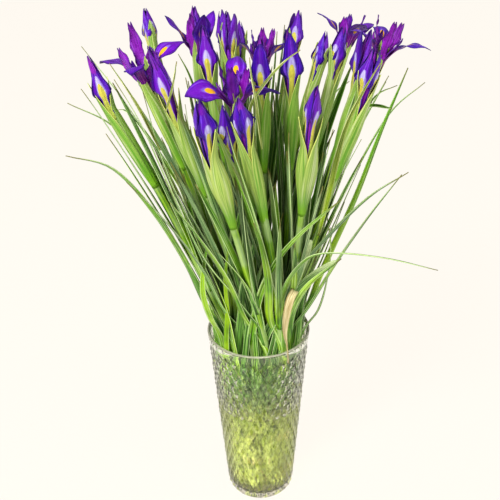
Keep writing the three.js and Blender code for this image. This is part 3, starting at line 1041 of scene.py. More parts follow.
LEAF = LeafFinish()
PALE_LEAF = LeafFinish(
    "pale_leaf", deep="5e7420", bright="a6b44e", bloom="c2c890", painted_highlight="d8dca4", margin_and_glint="dcdca8",
    tip="9a8a4c", bloom_share=0.3,
)
CUT_LEAF = LeafFinish("cut_leaf", tip="c0d09a", bloom_share=0.95)
STEM = StemFinish()
SHEATH = SheathFinish()
DRIED = DriedFinish()
BUD_FALL = PetalFinish("bud_fall", flame_to=0.6, flame_half=0.92, halo="d2d0f6", halo_half=0.14)
OPEN_FALL = PetalFinish(
    "open_fall", flame_from=0.53, flame_to=0.71, flame_half=0.27, flame="eeb01c", flame_root="eeb01c",
    stripes=0.8, halo="8d7fe0",
)
BARE_FALL = PetalFinish(
    "bare_fall", deep="1e0468", bright="4a0aa8", flush="7a22b0", flame_half=0.0, stripes=0.9, claw="4a1272",
)
STANDARD_PETAL = PetalFinish(
    "standard", deep="36068c", bright="6e10b4", flush="8a1aa6", flush_share=0.9, flame_half=0.0,
    pale="a45cd8",
)
STYLE_PETAL = PetalFinish(
    "style_arm", deep="300684", bright="6814b0", flush="a434b4", flush_share=0.8, flame_half=0.0,
)
GLASS = CutGlassFinish("cut_glass", "fafbf0", GLASS_BENDING)
LIP = LipFinish()
WATER = ClearFinish("clear_water", "f4f7d2", WATER_BENDING)


# ---- The bunch ---------------------------------------------------------------------------------


class Flowering(Enum):
    """What a flower is doing."""

    BUD = "bud"
    OPENING = "opening"
    BLOOM = "bloom"


@dataclass(frozen=True)
class Iris:
    """One flower.

    Attributes:
        head: The mouth of its sheath.
        flowering: What it is doing.
        size: Its size, 1 for most.
        open: How wide it is open, 0 to 1.
        turn: The way it faces, in degrees.
        wound: How far its first petal is wound on from the slit of the sheath, in degrees.
        girth: How full the sheath is beside the fullest one.
        rolls: How far the blade of each fall tips over, in degrees.
        lead: How long its last standard is beside the others.
        barb: How far up a closed flower the petals are widest.
        peel: How far the tip of its first petal leans out, in millimetres.
        bare: Whether its first fall has no yellow signal.
        slim: How thick a closed flower is beside the others.
    """

    head: Point
    flowering: Flowering
    size: float
    open: float
    turn: float
    wound: float = 0.0
    girth: float = 0.45
    rolls: Point = (0.0, 0.0, 0.0)
    lead: float = 1.0
    barb: float = 0.5
    peel: float = 0.0
    bare: bool = False
    slim: float = 1.0


BUD, OPENING, BLOOM = Flowering.BUD, Flowering.OPENING, Flowering.BLOOM

IRISES = [
    Iris((-110, -40, 429), OPENING, 1, 0.14, 100, 170, 0.25, barb=0.46, slim=0.84),
    Iris((-80, -36, 442), BLOOM, 1, 0.9, 152, 0, 0.4, (14, 0, 20), 1.4, bare=True),
    Iris((-90, 75, 450), BUD, 0.85, 0, 20, 15),
    Iris((-49, 58, 447), OPENING, 0.95, 0.1, 70, 20, peel=5),
    Iris((-45, 20, 446), BLOOM, 0.95, 0.4, 175),
    Iris((-55, -86, 434), OPENING, 1.3, 0.12, 265, -20, 0.55, barb=0.56, slim=0.86),
    Iris((-13, -82, 438), BLOOM, 0.93, 0.85, 208, 0, 0.6, (-45, -45, 0)),
    Iris((-30, -121, 419), OPENING, 1.1, 0.06, 250, 45, 0.95, barb=0.62),
    Iris((-17, -98, 412), BUD, 1, 0, 310),
    Iris((-6, -119, 424), OPENING, 0.95, 0.05, 290, 25, barb=0.58),
    Iris((-33, -29, 443), OPENING, 1.08, 0.08, 250, 10, barb=0.55),
    Iris((-20, 14, 450), OPENING, 0.95, 0.12, 280, 35, peel=6),
    Iris((-27, 80, 446), BUD, 0.85, 0, 0),
    Iris((5, -51, 439), OPENING, 1.12, 0.15, 275, -20, peel=7),
    Iris((6, 56, 430), BLOOM, 0.9, 0.7, 90),
    Iris((27, -42, 438), OPENING, 1.15, 0.15, 250, 20, peel=4),
    Iris((50, 2, 442), BUD, 0.85, 0, 30),
    Iris((34, -126, 428), OPENING, 1.15, 0.0, 270, 35, 0.72, barb=0.63, slim=0.74),
    Iris((61, -16, 447), BUD, 0.9, 0, 300),
    Iris((78, 58, 446), BLOOM, 0.85, 0.7, 40),
    Iris((76, -34, 437), OPENING, 1.12, 0.12, 190, peel=5),
    Iris((101, 19, 444), BLOOM, 0.95, 0.85, 330),
    Iris((73, -85, 443), OPENING, 1, 0.12, 260, 70, barb=0.55, peel=3),
    Iris((-13, 106, 434), BUD, 0.8, 0, 60),
    Iris((36, 98, 436), OPENING, 0.95, 0.15, 120, peel=5),
]


@dataclass(frozen=True)
class ArchingLeaf:
    """A long leaf: its iris, where it leaves the stem, its width, its turn and the points it passes."""

    iris: int
    start: float
    width: float
    turned: float
    via: tuple[Point, ...]


ARCHING_LEAVES = [
    ArchingLeaf(
        0, 200, 7, 45,
        ((-46, -27, 238), (-61, -36, 290), (-82, -50, 345), (-108, -61, 388), (-140, -70, 403)),
    ),
    ArchingLeaf(
        1, 205, 7, 45,
        ((-43, -16, 240), (-62, -16, 300), (-84, -14, 355), (-112, -16, 405), (-147, -20, 428)),
    ),
    ArchingLeaf(2, 230, 5, 30, ((-58, 14, 300), (-80, 8, 365), (-108, 12, 418), (-140, 20, 463))),
    ArchingLeaf(5, 250, 5, 0, ((-44, -58, 320), (-68, -66, 390), (-80, -62, 447))),
    ArchingLeaf(5, 204, 7, 0, ((-30, -36, 240), (-48, -56, 300), (-72, -78, 355), (-92, -96, 392))),
    ArchingLeaf(7, 235, 6, 0, ((-42, -66, 310), (-64, -80, 380), (-80, -83, 430), (-95, -84, 462))),
    ArchingLeaf(7, 204, 8, 0, ((-12, -48, 240), (-26, -76, 300), (-44, -100, 350), (-60, -115, 385))),
    ArchingLeaf(9, 206, 8, 0, ((10, -50, 240), (8, -80, 300), (3, -106, 345), (-2, -124, 372))),
    ArchingLeaf(
        9, 212, 7, -30,
        ((21, -60, 272), (34, -82, 314), (52, -91, 329), (95, -92, 325), (140, -86, 310)),
    ),
    ArchingLeaf(17, 235, 7, -30, ((36, -58, 295), (54, -70, 330), (84, -76, 368), (112, -76, 388))),
    ArchingLeaf(17, 206, 8, -30, ((30, -50, 250), (42, -64, 285), (66, -76, 316))),
    ArchingLeaf(22, 203, 7, 0, ((44, -34, 240), (64, -52, 295), (86, -72, 350), (104, -90, 392))),
    ArchingLeaf(
        20, 202, 8, -45,
        ((46, -12, 228), (56, -16, 262), (68, -20, 300), (84, -26, 350), (100, -26, 405), (116, -25, 452)),
    ),
    ArchingLeaf(
        21, 205, 7, -45,
        ((46, 12, 236), (66, 20, 295), (92, 28, 352), (118, 33, 400), (146, 38, 424)),
    ),
    ArchingLeaf(19, 225, 6, -30, ((60, 42, 295), (92, 52, 385), (114, 54, 440), (126, 54, 470))),
    ArchingLeaf(19, 208, 7, 0, ((48, 52, 280), (88, 84, 350), (114, 102, 392), (138, 112, 402))),
    ArchingLeaf(24, 212, 6, 0, ((22, 60, 290), (50, 92, 350), (76, 118, 390), (95, 138, 400))),
    ArchingLeaf(23, 208, 7, 0, ((-12, 64, 290), (-15, 96, 345), (-20, 125, 380), (-30, 146, 372))),
    ArchingLeaf(12, 215, 6, 0, ((-32, 56, 300), (-46, 90, 365), (-62, 118, 410), (-75, 138, 430))),
    ArchingLeaf(2, 206, 7, 0, ((-56, 44, 290), (-92, 72, 350), (-122, 94, 385), (-142, 106, 382))),
]


@dataclass(frozen=True)
class LooseLeaf:
    """A leaf with a name of its own.

    Attributes:
        name: Its name.
        widths: Its widths from root to tip.
        cup: How far its cross-section bends, in radians.
        finish: Its finish.
        tone: How light it is, 0 to 1.
        points: The points that it passes.
        upper: The way its upper face looks.
        blunt: How much its tip is rounded, as a share of its length.
    """

    name: str
    widths: tuple[float, ...]
    cup: float
    finish: Finish
    tone: float
    points: tuple[Point, ...]
    upper: Point = (0.0, -0.8, 0.6)
    blunt: float = 0.0

    def build(self, stock: SheetStock) -> Piece:
        """Builds the leaf.

        Args:
            stock: Where its sheet is cut from.

        Returns:
            The finished piece.
        """
        outline = Outline(
            self.widths, (self.cup, self.cup), ruffle=0.4, waves=2.0, rounding=self.blunt, twist=0.3
        )
        curve = ease(self.points, np.linspace(0, 1, LEAF_POINTS))
        path = Path(curve, np.tile(self.upper, (LEAF_POINTS, 1)))
        sheet = stock.cut((8, 44), outline.on(path), self.finish, self.tone)
        return assemble(self.name, [sheet], LEAF_THICKNESS)


LOOSE_LEAVES = [
    LooseLeaf(
        "pale_cut_leaf", (6, 8, 8.5, 8.5, 8.5, 8, 7.5, 6.5), 1.0, CUT_LEAF, 0.95,
        (
            (-8, -20, 70), (-5, -30, 140), (3, -38, 203), (12, -46, 235), (26, -54, 267),
            (45, -62, 292), (63, -67, 309),
        ),
        blunt=0.06,
    ),
    LooseLeaf(
        "blue_cut_leaf", (5, 7, 8, 8.5, 8.5, 8), 1.2, CUT_LEAF, 1.0,
        ((2, -18, 70), (8, -28, 140), (17, -38, 203), (24, -50, 255), (34, -64, 300), (42, -70, 330)),
        blunt=0.08,
    ),
    LooseLeaf(
        "long_crossing_leaf", (5, 8, 8.5, 8, 7, 6, 4.5, 3, 0.6), 1.1, LEAF, 0.2,
        (
            (-14, -16, 80), (-13, -28, 150), (-8, -39, 205), (1, -62, 272), (14, -80, 315),
            (32, -93, 347), (60, -101, 378),
        ),
    ),
    LooseLeaf(
        "dried_leaf", (7.5, 8, 7.5, 6.5, 5, 3.2, 1.8, 1.4, 1.2, 1.2), 2.2, DRIED, 0.5,
        ((31, -58, 276), (27, -64, 271), (24, -64, 255), (23, -60, 236), (25, -54, 216), (27, -46, 190)),
    ),
    LooseLeaf(
        "left_bulging_leaf", (5, 8, 9, 9.5, 9, 8, 6, 3, 0.8), 1.0, LEAF, 0.1,
        (
            (-12, -14, 70), (-24, -22, 140), (-33, -26, 203), (-42, -38, 236), (-47, -46, 268),
            (-44, -51, 300), (-36, -54, 336),
        ),
        (-0.7, -0.7, 0.2),
    ),
    LooseLeaf(
        "right_bulging_leaf", (5, 8, 8.5, 8.5, 8, 7, 5, 3, 0.8), 1.0, LEAF, 0.6,
        (
            (16, -8, 70), (26, -12, 140), (40, -17, 203), (54, -22, 232), (61, -25, 265),
            (63, -28, 300), (58, -32, 335),
        ),
        (0.8, -0.6, 0.2),
    ),
    LooseLeaf(
        "short_level_leaf", (3, 3.4, 3.2, 2.6, 1.8, 0.6), 0.9, LEAF, 0.3,
        ((73, -66, 434), (79, -68, 436), (87, -72, 437), (96, -76, 436)), (0.0, -0.5, 0.8),
    ),
    LooseLeaf(
        "tall_crossing_leaf", (2, 4, 4.4, 4.0, 3.2, 2.0, 0.4), 0.7, PALE_LEAF, 0.3,
        ((48, -70, 334), (52, -80, 366), (60, -97, 425), (69, -104, 453), (75, -106, 466), (80, -106, 475)),
    ),
    LooseLeaf(
        "short_crossing_leaf", (1.2, 1.9, 2.0, 1.7, 1.1, 0.3), 0.5, PALE_LEAF, 0.5,
        ((-5, -100, 434), (-2, -108, 451), (8, -112, 467), (19, -110, 478), (29, -106, 484)),
    ),
    LooseLeaf(
        "thin_front_leaf", (1.0, 1.5, 1.7, 1.5, 1.0, 0.3), 0.5, PALE_LEAF, 0.35,
        ((4, -118, 423), (2, -124, 444), (0, -128, 462), (-2, -128, 474), (-3, -124, 484)),
    ),
    LooseLeaf(
        "thin_right_leaf", (1.0, 1.5, 1.6, 1.1, 0.3), 0.5, PALE_LEAF, 0.7,
        ((33, -90, 430), (34, -92, 448), (37, -90, 464), (41, -86, 481)),
    ),
    LooseLeaf(
        "left_crossing_leaf", (1.2, 1.9, 2.1, 1.6, 0.9, 0.3), 0.5, PALE_LEAF, 0.4,
        ((-70, -70, 406), (-80, -80, 439), (-88, -84, 457), (-97, -84, 473)),
    ),
    LooseLeaf(
        "thin_left_leaf", (0.8, 1.4, 1.4, 0.9, 0.3), 0.5, PALE_LEAF, 0.6,
        ((-60, -98, 443), (-54, -102, 460), (-50, -100, 477)),
    ),
]


@dataclass(frozen=True)
class Head:
    """Where a flower sits: the sheath's mouth, the way it points and the way it faces."""

    mouth: Array
    up: Array
    facing: Array

    def out(self, angle: float) -> Array:
        """The direction at an angle in degrees round the flower."""
        return rotated(self.facing, self.up, math.radians(angle))


@dataclass
class Bunch:
    """How the stems run: one spiral through the vase, in which each stem has its own place."""

    foot: float = 12.5
    rim: float = 200.0
    full: float = 450.0
    foot_spread: float = -12.0
    neck_spread: float = 24.0
    head_spread: float = 150.0
    foot_lean: float = 22.5
    neck_lean: float = 27.0
    stem_room: float = 0.3
    pushes: int = 300
    uprighting: float = 0.6
    places: Array = field(init=False)
    heads: Array = field(init=False)

    def __post_init__(self) -> None:
        """Finds the stems' places, pushed apart until each has its room."""
        self.heads = np.array([iris.head for iris in IRISES], float)
        places = self.heads[:, :2] / self.head_spread
        for _ in range(self.pushes):
            for i in range(len(places)):
                for j in range(i + 1, len(places)):
                    gap = places[j] - places[i]
                    apart = math.hypot(*gap)
                    if apart < self.stem_room:
                        push = gap * (self.stem_room - apart) / 2 / apart
                        places[i] -= push
                        places[j] += push
                places[i] /= max(1.0, math.hypot(*places[i]))
        self.places = places

    def place_at(self, i: int, z: Array) -> Array:
        """Finds where a stem would be if it ran straight on to the full spread.

        Args:
            i: The stem.
            z: Heights.

        Returns:
            Its place to the right and back at each height.
        """
        s = (z - self.foot) / (self.full - self.foot)
        foot, neck = (1 - s) ** 2, 2 * s * (1 - s)
        spread = foot * self.foot_spread + neck * self.neck_spread + s * s * self.head_spread
        lean = foot * self.foot_lean + neck * self.neck_lean
        u, v = self.places[i]
        return np.stack([u * spread - v * lean, u * lean + v * spread], axis=-1)

    def stem(self, i: int, z: Array | float) -> Array:
        """Finds the middle of a stem, which above the rim bends over to its own head.

        Args:
            i: The stem.
            z: Heights.

        Returns:
            A point at each height.
        """
        z = np.asarray(z, float)
        head = self.heads[i]
        t = np.clip((z - self.rim) / (head[2] - self.rim), 0, 1)[..., None]
        level = self.place_at(i, z) + (head[:2] - self.place_at(i, head[2])) * t * t
        return np.concatenate([level, z[..., None]], axis=-1)

    def direction(self, i: int, z: Array | float) -> Array:
        """The way stem i runs at heights z."""
        z = np.asarray(z, float)
        return unit(self.stem(i, z) - self.stem(i, z - 2))

    def head(self, i: int) -> Head:
        """Finds where a flower sits.

        Args:
            i: Its iris.

        Returns:
            The head of its stem.
        """
        up = unit(self.direction(i, self.heads[i][2]) + UP * self.uprighting)
        turn = math.radians(IRISES[i].turn)
        facing = np.array([math.cos(turn), math.sin(turn), 0.0])
        return Head(self.heads[i], up, unit(facing - up * np.dot(facing, up)))


@dataclass
class Axis:
    """The line up through a sheath and its flower, straight over the mouth unless the flower bends."""

    bunch: Bunch
    iris: int
    bend: tuple[float, float] = (0.0, 0.0)
    turning: float = 16.0
    bend_height: float = 40.0

    def around(self, h: Array, angle: Array, radius: Array) -> Array:
        """Finds points round the line.

        Args:
            h: Heights over the sheath's mouth.
            angle: Angles round the line, in radians.
            radius: Distances from it.

        Returns:
            The points.
        """
        head = self.bunch.head(self.iris)
        z = head.mouth[2] + np.minimum(h, 0.0)
        middle = self.bunch.stem(self.iris, z) + head.up * np.maximum(h, 0.0)[:, None]
        turn = smooth(-self.turning, 0.0, h)[:, None]
        ahead = unit(self.bunch.direction(self.iris, z) * (1 - turn) + head.up * turn)
        first = unit(head.facing - ahead * np.sum(head.facing * ahead, axis=1, keepdims=True))
        second = np.cross(ahead, first)
        round_it = first * np.cos(angle)[:, None] + second * np.sin(angle)[:, None]
        lean = (np.maximum(h, 0.0) / self.bend_height) ** 2
        middle = middle + (first * self.bend[0] + second * self.bend[1]) * lean[:, None]
        return middle + round_it * np.asarray(radius)[:, None]


# ---- Stems, sheaths and leaves -----------------------------------------------------------------


@dataclass
class Stalk:
    """A stem and the sheath at its top."""

    stem_radius: float = 3.1
    below_foot: float = 2.0
    below_mouth: float = 8.0
    sheath_length: float = 66.0
    sheath_radii: tuple[float, ...] = (3.2, 3.4, 4.4, 5.9, 6.7, 6.1, 4.7)
    sheath_thickness: float = 0.45
    bract_tip: float = 23.0
    bract_lean: float = 7.4
    keel: float = 0.6
    flatness: float = 0.13
    wraps: tuple[float, ...] = (126, 126, 124, 120, 112, 96, 66, 34, 2)
    valves: tuple[tuple[float, float], ...] = ((90.0, 0.45), (270.0, -0.15))
    stem_grid: Grid = (12, 56)
    valve_grid: Grid = (18, 26)

    def stem_skin(self, bunch: Bunch, i: int, u: Array, v: Array) -> Array:
        """Finds points of a stem, which runs from its cut end to inside the sheath.

        Args:
            bunch: The bunch.
            i: The stem.
            u: Places round it, -1 to 1.
            v: Places along it, 0 to 1; both ends are closed.

        Returns:
            The points.
        """
        low, high = bunch.foot - self.below_foot, IRISES[i].head[2] - self.below_mouth
        z = low + (high - low) * np.clip((v - 0.02) / 0.96, 0, 1)
        radius = self.stem_radius * smooth(0.0, 0.02, v) * smooth(1.0, 0.98, v)
        radius = radius * (1 + 0.06 * np.sin(z / 31.0 + i) + 0.03 * np.cos(3 * math.pi * u + i))
        ahead = bunch.direction(i, z)
        first = unit(np.array([1.0, 0.0, 0.0]) - ahead * ahead[:, :1])
        second = np.cross(ahead, first)
        angle = (math.pi * u)[:, None]
        return bunch.stem(i, z) + (first * np.cos(angle) + second * np.sin(angle)) * radius[:, None]

    def valve_skin(self, axis: Axis, valve: tuple[float, float], u: Array, v: Array) -> Array:
        """Finds points of a valve of the sheath, which ends in a pointed bract beside the flower.

        Args:
            axis: The line up through the sheath.
            valve: The valve's angle in degrees and how far it is raised over the other one.
            u: Places across, -1 to 1.
            v: Places along, 0 to 1.

        Returns:
            The points.
        """
        angle, raised = valve
        h = -self.sheath_length + (self.sheath_length + self.bract_tip) * v
        radius = ease(self.sheath_radii, (h + self.sheath_length) / self.sheath_length)
        stem, mouth = self.sheath_radii[0], self.sheath_radii[-1]
        full = smooth(0.0, 0.25, v) * smooth(1.0, 0.55, v)
        radius = radius + (np.maximum(radius - stem, 0) * (IRISES[axis.iris].girth - 1) * full)
        lean = np.clip(h / self.bract_tip, 0, 1) * (self.bract_lean - mouth)
        keel = self.keel * np.exp(-((u / 0.1) ** 2)) * np.sin(math.pi * v)
        wrap = np.radians(ease(self.wraps, v))
        skin = raised * smooth(0.0, 0.3, v) - 0.3 * smooth(0.12, 0.0, v)
        skin = skin + self.flatness * radius * full * np.cos(2 * u * wrap)
        return axis.around(h, math.radians(angle) + u * wrap, radius + lean + keel + skin)

    def build(self, stock: SheetStock, bunch: Bunch, i: int, tone: float) -> list[Piece]:
        """Builds a stem and its sheath.

        Args:
            stock: Where the sheets are cut from.
            bunch: The bunch.
            i: The iris.
            tone: How dark its sheath is, 0 to 1.

        Returns:
            The stem and the sheath.
        """
        name = f"iris_{i + 1:02d}"
        stem = stock.cut(self.stem_grid, partial(self.stem_skin, bunch, i), STEM, tone)
        skins = [partial(self.valve_skin, Axis(bunch, i), valve) for valve in self.valves]
        valves = [stock.cut(self.valve_grid, skin, SHEATH, tone) for skin in skins]
        return [
            assemble(f"{name}_stem", [stem], 0.0),
            assemble(f"{name}_sheath", valves, self.sheath_thickness),
        ]


@dataclass
class StemLeaf:
    """A leaf that keeps beside its stem: its iris, the way it stands out, its ends and its room."""

    iris: int
    direction: float
    low: float
    high: float
    spine: Array | None = None
    room: float = 0.0


@dataclass
class Foliage:
    """Narrow leaves.

    Each outer stem has two leaves beside it and each inner one has one, where there is room. Each
    iris also has three that leave its stem half way up and three low ones that lean on the rim, and
    some have arching leaves of their own.
    """

    lowest: float = 190.0
    spacing: float = 22.0
    tip_below: float = 20.0
    tip_spacing: float = 14.0
    root: float = 1.5
    reach: float = 13.0
    directions: int = 16
    same_level: float = 25.0
    least_room: float = 3.5
    stem_radius: float = 3.1
    sheath_radius: float = 7.4
    sheath_length: float = 66.0
    middle: float = 0.45
    steps: int = 4
    clasp: float = 26.0
    stem_side: float = 3.7
    low_start: float = 48.0
    low_spacing: float = 13.0
    low_besides: tuple[float, ...] = (0.0, 0.3, 0.6)
    shoulder: float = 285.0
    rim_reach: float = 43.0
    usual_width: float = 7.0
    upper_count: int = 3
    outline: Outline = Outline(
        widths=(11.5, 9.6, 7.4, 6.6, 6.4, 6.0, 5.2, 4.2, 2.8, 0.5),
        cups=(3.4, 2.9, 1.9, 1.4, 1.2, 1.1, 1.0, 0.9, 0.7, 0.5),
    )
    arching_outline: Outline = Outline(
        widths=(11.5, 8.6, 7.2, 6.9, 6.6, 6.0, 5.2, 4.1, 2.7, 0.5),
        cups=(3.4, 2.6, 1.7, 1.4, 1.3, 1.2, 1.1, 1.0, 0.8, 0.5),
    )

    def line(self, bunch: Bunch, leaf: StemLeaf, t: Array) -> Array:
        """Finds the middle line of a leaf beside its own stem.

        Args:
            bunch: The bunch.
            leaf: The leaf.
            t: Places along it, 0 to 1.

        Returns:
            The points.
        """
        out = np.array([math.cos(leaf.direction), math.sin(leaf.direction), 0.0])
        away = self.root + (self.reach - self.root) * t**0.8
        return bunch.stem(leaf.iris, leaf.low + (leaf.high - leaf.low) * t) + out * away[:, None]

    def room(self, bunch: Bunch, leaf: StemLeaf, placed: list[StemLeaf]) -> float:
        """Measures the room that a leaf has.

        Args:
            bunch: The bunch.
            leaf: The leaf.
            placed: The leaves that are in place already.

        Returns:
            The least distance from its line to the other stems and leaves.
        """
        room = math.inf
        others = [j for j in range(len(IRISES)) if j != leaf.iris]
        for point in leaf.spine[1:]:
            for j in others:
                in_sheath = point[2] > bunch.heads[j][2] - self.sheath_length
                gap = bunch.stem(j, point[2]) - point
                radius = self.sheath_radius if in_sheath else self.stem_radius
                room = min(room, math.hypot(gap[0], gap[1]) - radius)
            for other in placed:
                off = np.abs(other.spine[:, 2] - point[2])
                near = int(np.argmin(off))
                if off[near] < self.same_level:
                    room = min(room, float(np.linalg.norm(other.spine[near] - point)))
        return room

    def placed(self, bunch: Bunch) -> list[StemLeaf]:
        """Turns each leaf to the widest gap that is still free, as the solids do.

        Args:
            bunch: The bunch.

        Returns:
            The leaves that have room.
        """
        placed: list[StemLeaf] = []
        t = np.linspace(0, 1, self.steps + 1)
        for turn in range(2):
            for i, iris in enumerate(IRISES):
                if turn > 0 and math.hypot(*bunch.places[i]) < self.middle:
                    continue
                low = self.lowest + self.spacing * ((i * 7 + turn * 3) % 5)
                high = iris.head[2] - self.tip_below - self.tip_spacing * ((i * 5 + turn * 4) % 6)
                tries = [
                    StemLeaf(i, k / self.directions * 2 * math.pi, low, high)
                    for k in range(self.directions)
                ]
                for leaf in tries:
                    leaf.spine = self.line(bunch, leaf, t)
                    leaf.room = self.room(bunch, leaf, placed)
                best = max(tries, key=lambda leaf: leaf.room)
                if best.room > self.least_room:
                    placed.append(best)
        return placed

    def beside(self, bunch: Bunch, leaf: StemLeaf, drift: float) -> Path:
        """Lays the path of a leaf that keeps beside its stem.

        Args:
            bunch: The bunch.
            leaf: The leaf.
            drift: How far its tip leans to the side.

        Returns:
            The path, from its clasping base to its tip.
        """
        z = np.linspace(leaf.low - self.clasp, leaf.high, 40)
        free = np.clip((z - leaf.low) / (leaf.high - leaf.low), 0, 1)
        out = np.array([math.cos(leaf.direction), math.sin(leaf.direction), 0.0])
        away = np.hypot(self.stem_side, self.reach * free**0.9)
        side = np.cross(UP, out) * drift
        points = bunch.stem(leaf.iris, z) + out * away[:, None] + side * (free**2)[:, None]
        return Path(points, np.tile(-out, (len(z), 1)))

    def arching(self, bunch: Bunch, leaf: ArchingLeaf) -> Path:
        """Lays the path of an arching leaf.

        Args:
            bunch: The bunch.
            leaf: The leaf.

        Returns:
            The path, from its clasping base to its tip.
        """
        knots = np.array([bunch.stem(leaf.iris, float(leaf.start)), *leaf.via], float)
        reach = unit(knots[-1] - knots[0])
        across = rotated(unit(np.array([reach[1], -reach[0], 0.0])), reach, math.radians(leaf.turned))
        out = unit(np.array([reach[0], reach[1], 0.0]))
        t = np.linspace(0, 1, LEAF_POINTS)
        curve = ease(knots, t)
        ahead = unit(np.gradient(curve, axis=0))
        side = unit(across - ahead * np.sum(ahead * across, axis=1, keepdims=True))
        clasping = smooth(0.16, 0.0, t)[:, None]
        curve = curve + out * self.stem_side * clasping
        uppers = unit(np.cross(side, ahead) * (1 - clasping) - out * clasping)
        z = np.linspace(leaf.start - self.clasp, leaf.start - 4.0, 8)
        base = bunch.stem(leaf.iris, z) + out * self.stem_side
        return Path(np.concatenate([base, curve]), np.concatenate([np.tile(-out, (8, 1)), uppers]))

    def upper(self, i: int, chance: Chance) -> StemLeaf:
        """Draws a leaf that leaves its stem half way up and ends beside the flower.

        Args:
            i: Its iris.
            chance: Random numbers.

        Returns:
            The leaf.
        """
        head = IRISES[i].head[2]
        low = head - float(chance.uniform(120, 190))
        high = head + float(chance.uniform(-30, 26))
        return StemLeaf(i, float(chance.uniform(0, 2 * math.pi)), low, high)

    def low(self, bunch: Bunch, i: int, chance: Chance, beside: float) -> ArchingLeaf:
        """Draws a leaf that leaves its stem inside the vase, leans on the rim and rises among the others.

        Args:
            bunch: The bunch.
            i: The leaf's iris.
            chance: Random numbers.
            beside: How far round it stands from the iris's own place, in places.

        Returns:
            The leaf.
        """
        start = self.low_start + self.low_spacing * ((i * 3) % 5) + 20 * beside
        angles = np.arctan2(bunch.places[:, 1], bunch.places[:, 0])
        rank = int(np.argsort(np.argsort(angles))[i])
        angle = 2 * math.pi * (rank + beside) / len(IRISES) - math.pi + float(chance.uniform(-0.1, 0.1))
        drift = float(chance.uniform(-0.3, 0.5))
        tip = float(chance.uniform(285, 385))
        fan = float(chance.uniform(0.8, 1.25))
        rim = self.rim_reach * (1 - 0.3 * beside)
        wide = 1.1 * rim + 12 * fan
        places = [
            (0.78 * rim, (start + bunch.rim) / 2),
            (rim, bunch.rim),
            (1.1 * rim, (bunch.rim + self.shoulder) / 2),
            (wide, self.shoulder),
            (wide + (tip - 270) * 0.3 * fan, tip + 15),
        ]
        via = []
        for reach, level in places:
            a = angle + drift * (level - bunch.rim) / 100
            via.append((reach * math.cos(a), reach * math.sin(a), level))
        width, turned = float(chance.uniform(6.5, 9)), float(chance.uniform(-30, 30))
        return ArchingLeaf(i, start, width, turned, tuple(via))

    def build(self, stock: SheetStock, bunch: Bunch, i: int, placed: list[StemLeaf], chance: Chance) -> Piece:
        """Builds one iris's leaves.

        Args:
            stock: Where the sheets are cut from.
            bunch: The bunch.
            i: The iris.
            placed: The leaves that have a place beside any stem.
            chance: Random numbers.

        Returns:
            The leaves as one piece.
        """
        sheets = []
        straight = [*placed, *(self.upper(i, chance) for _ in range(self.upper_count))]
        for leaf in straight:
            if leaf.iris == i:
                path = self.beside(bunch, leaf, float(chance.uniform(-14, 14)))
                outline = replace(self.outline, twist=float(chance.uniform(-0.9, 0.9)))
                surface = outline.on(path, float(chance.uniform(0, 6)))
                sheets.append(stock.cut((6, 30), surface, LEAF, float(chance.uniform(0, 1))))
        low = [self.low(bunch, i, chance, beside) for beside in self.low_besides]
        for leaf in [*ARCHING_LEAVES, *low]:
            if leaf.iris == i:
                share = leaf.width / self.usual_width
                widths = tuple(w * share for w in self.arching_outline.widths)
                surface = replace(self.arching_outline, widths=widths).on(self.arching(bunch, leaf))
                sheets.append(stock.cut((6, 44), surface, LEAF, float(chance.uniform(0, 1))))
        return assemble(f"iris_{i + 1:02d}_leaves", sheets, LEAF_THICKNESS)


# ---- Flowers -----------------------------------------------------------------------------------


@dataclass(frozen=True)
class Furled:
    """A petal wound round the flower's middle.

    Attributes:
        length: How far it rises over the sheath's mouth.
        radii: How far from the middle it lies, from inside the sheath to the tip.
        wraps: How far it reaches round each way, in degrees.
        twist: How far it winds on from root to tip, in radians.
        spiral: How much further out its one edge lies, so that it overlaps the next petal.
        flare: How much of the flower's flare its edges take.
        foot: Where it starts, under the mouth.
    """

    length: float
    radii: tuple[float, ...]
    wraps: tuple[float, ...]
    twist: float
    spiral: float
    flare: float = 0.0
    foot: float = -8.0

    def skin(
        self, axis: Axis, angle: float, size: float, flare: float, tip: float, u: Array, v: Array
    ) -> Array:
        """Finds points of the petal.

        Args:
            axis: The line up through the flower.
            angle: The petal's angle round it, in degrees.
            size: The petal's size.
            flare: How far its edges stand out.
            tip: How far its tip leans out.
            u: Places across, -1 to 1.
            v: Places along, 0 to 1.

        Returns:
            The points.
        """
        iris = IRISES[axis.iris]
        h = self.foot + (self.length * size - self.foot) * v
        w = v ** (math.log(0.5) / math.log(iris.barb))
        fin = np.exp(-(((w - 0.5) / np.where(w < 0.5, 0.07, 0.17)) ** 2)) * np.abs(u) ** 4
        radius = ease(self.radii, w) * (1 + self.spiral * u) + flare * self.flare * fin
        keel = 0.45 * np.exp(-((u / 0.1) ** 2)) * np.sin(math.pi * v)
        crease = 0.18 * np.sin(7 * u + 5 * v + tip) * np.sin(math.pi * v)
        radius = radius + keel + crease + tip * smooth(0.35, 1.0, v) ** 1.5
        torn = 0.03 * np.sin(29 * v + 7 * tip) + 0.02 * np.sin(61 * v + 17 * tip)
        wrap = np.radians(ease(self.wraps, w)) * (1 + torn) / (1 + 0.12 * np.maximum(tip - 2, 0) * v)
        around = math.radians(angle) + self.twist * v + u * wrap
        radius = radius * (1 + (iris.slim - 1) * smooth(0.0, 0.4, v))
        return axis.around(h, around, np.maximum(radius, 0.12))


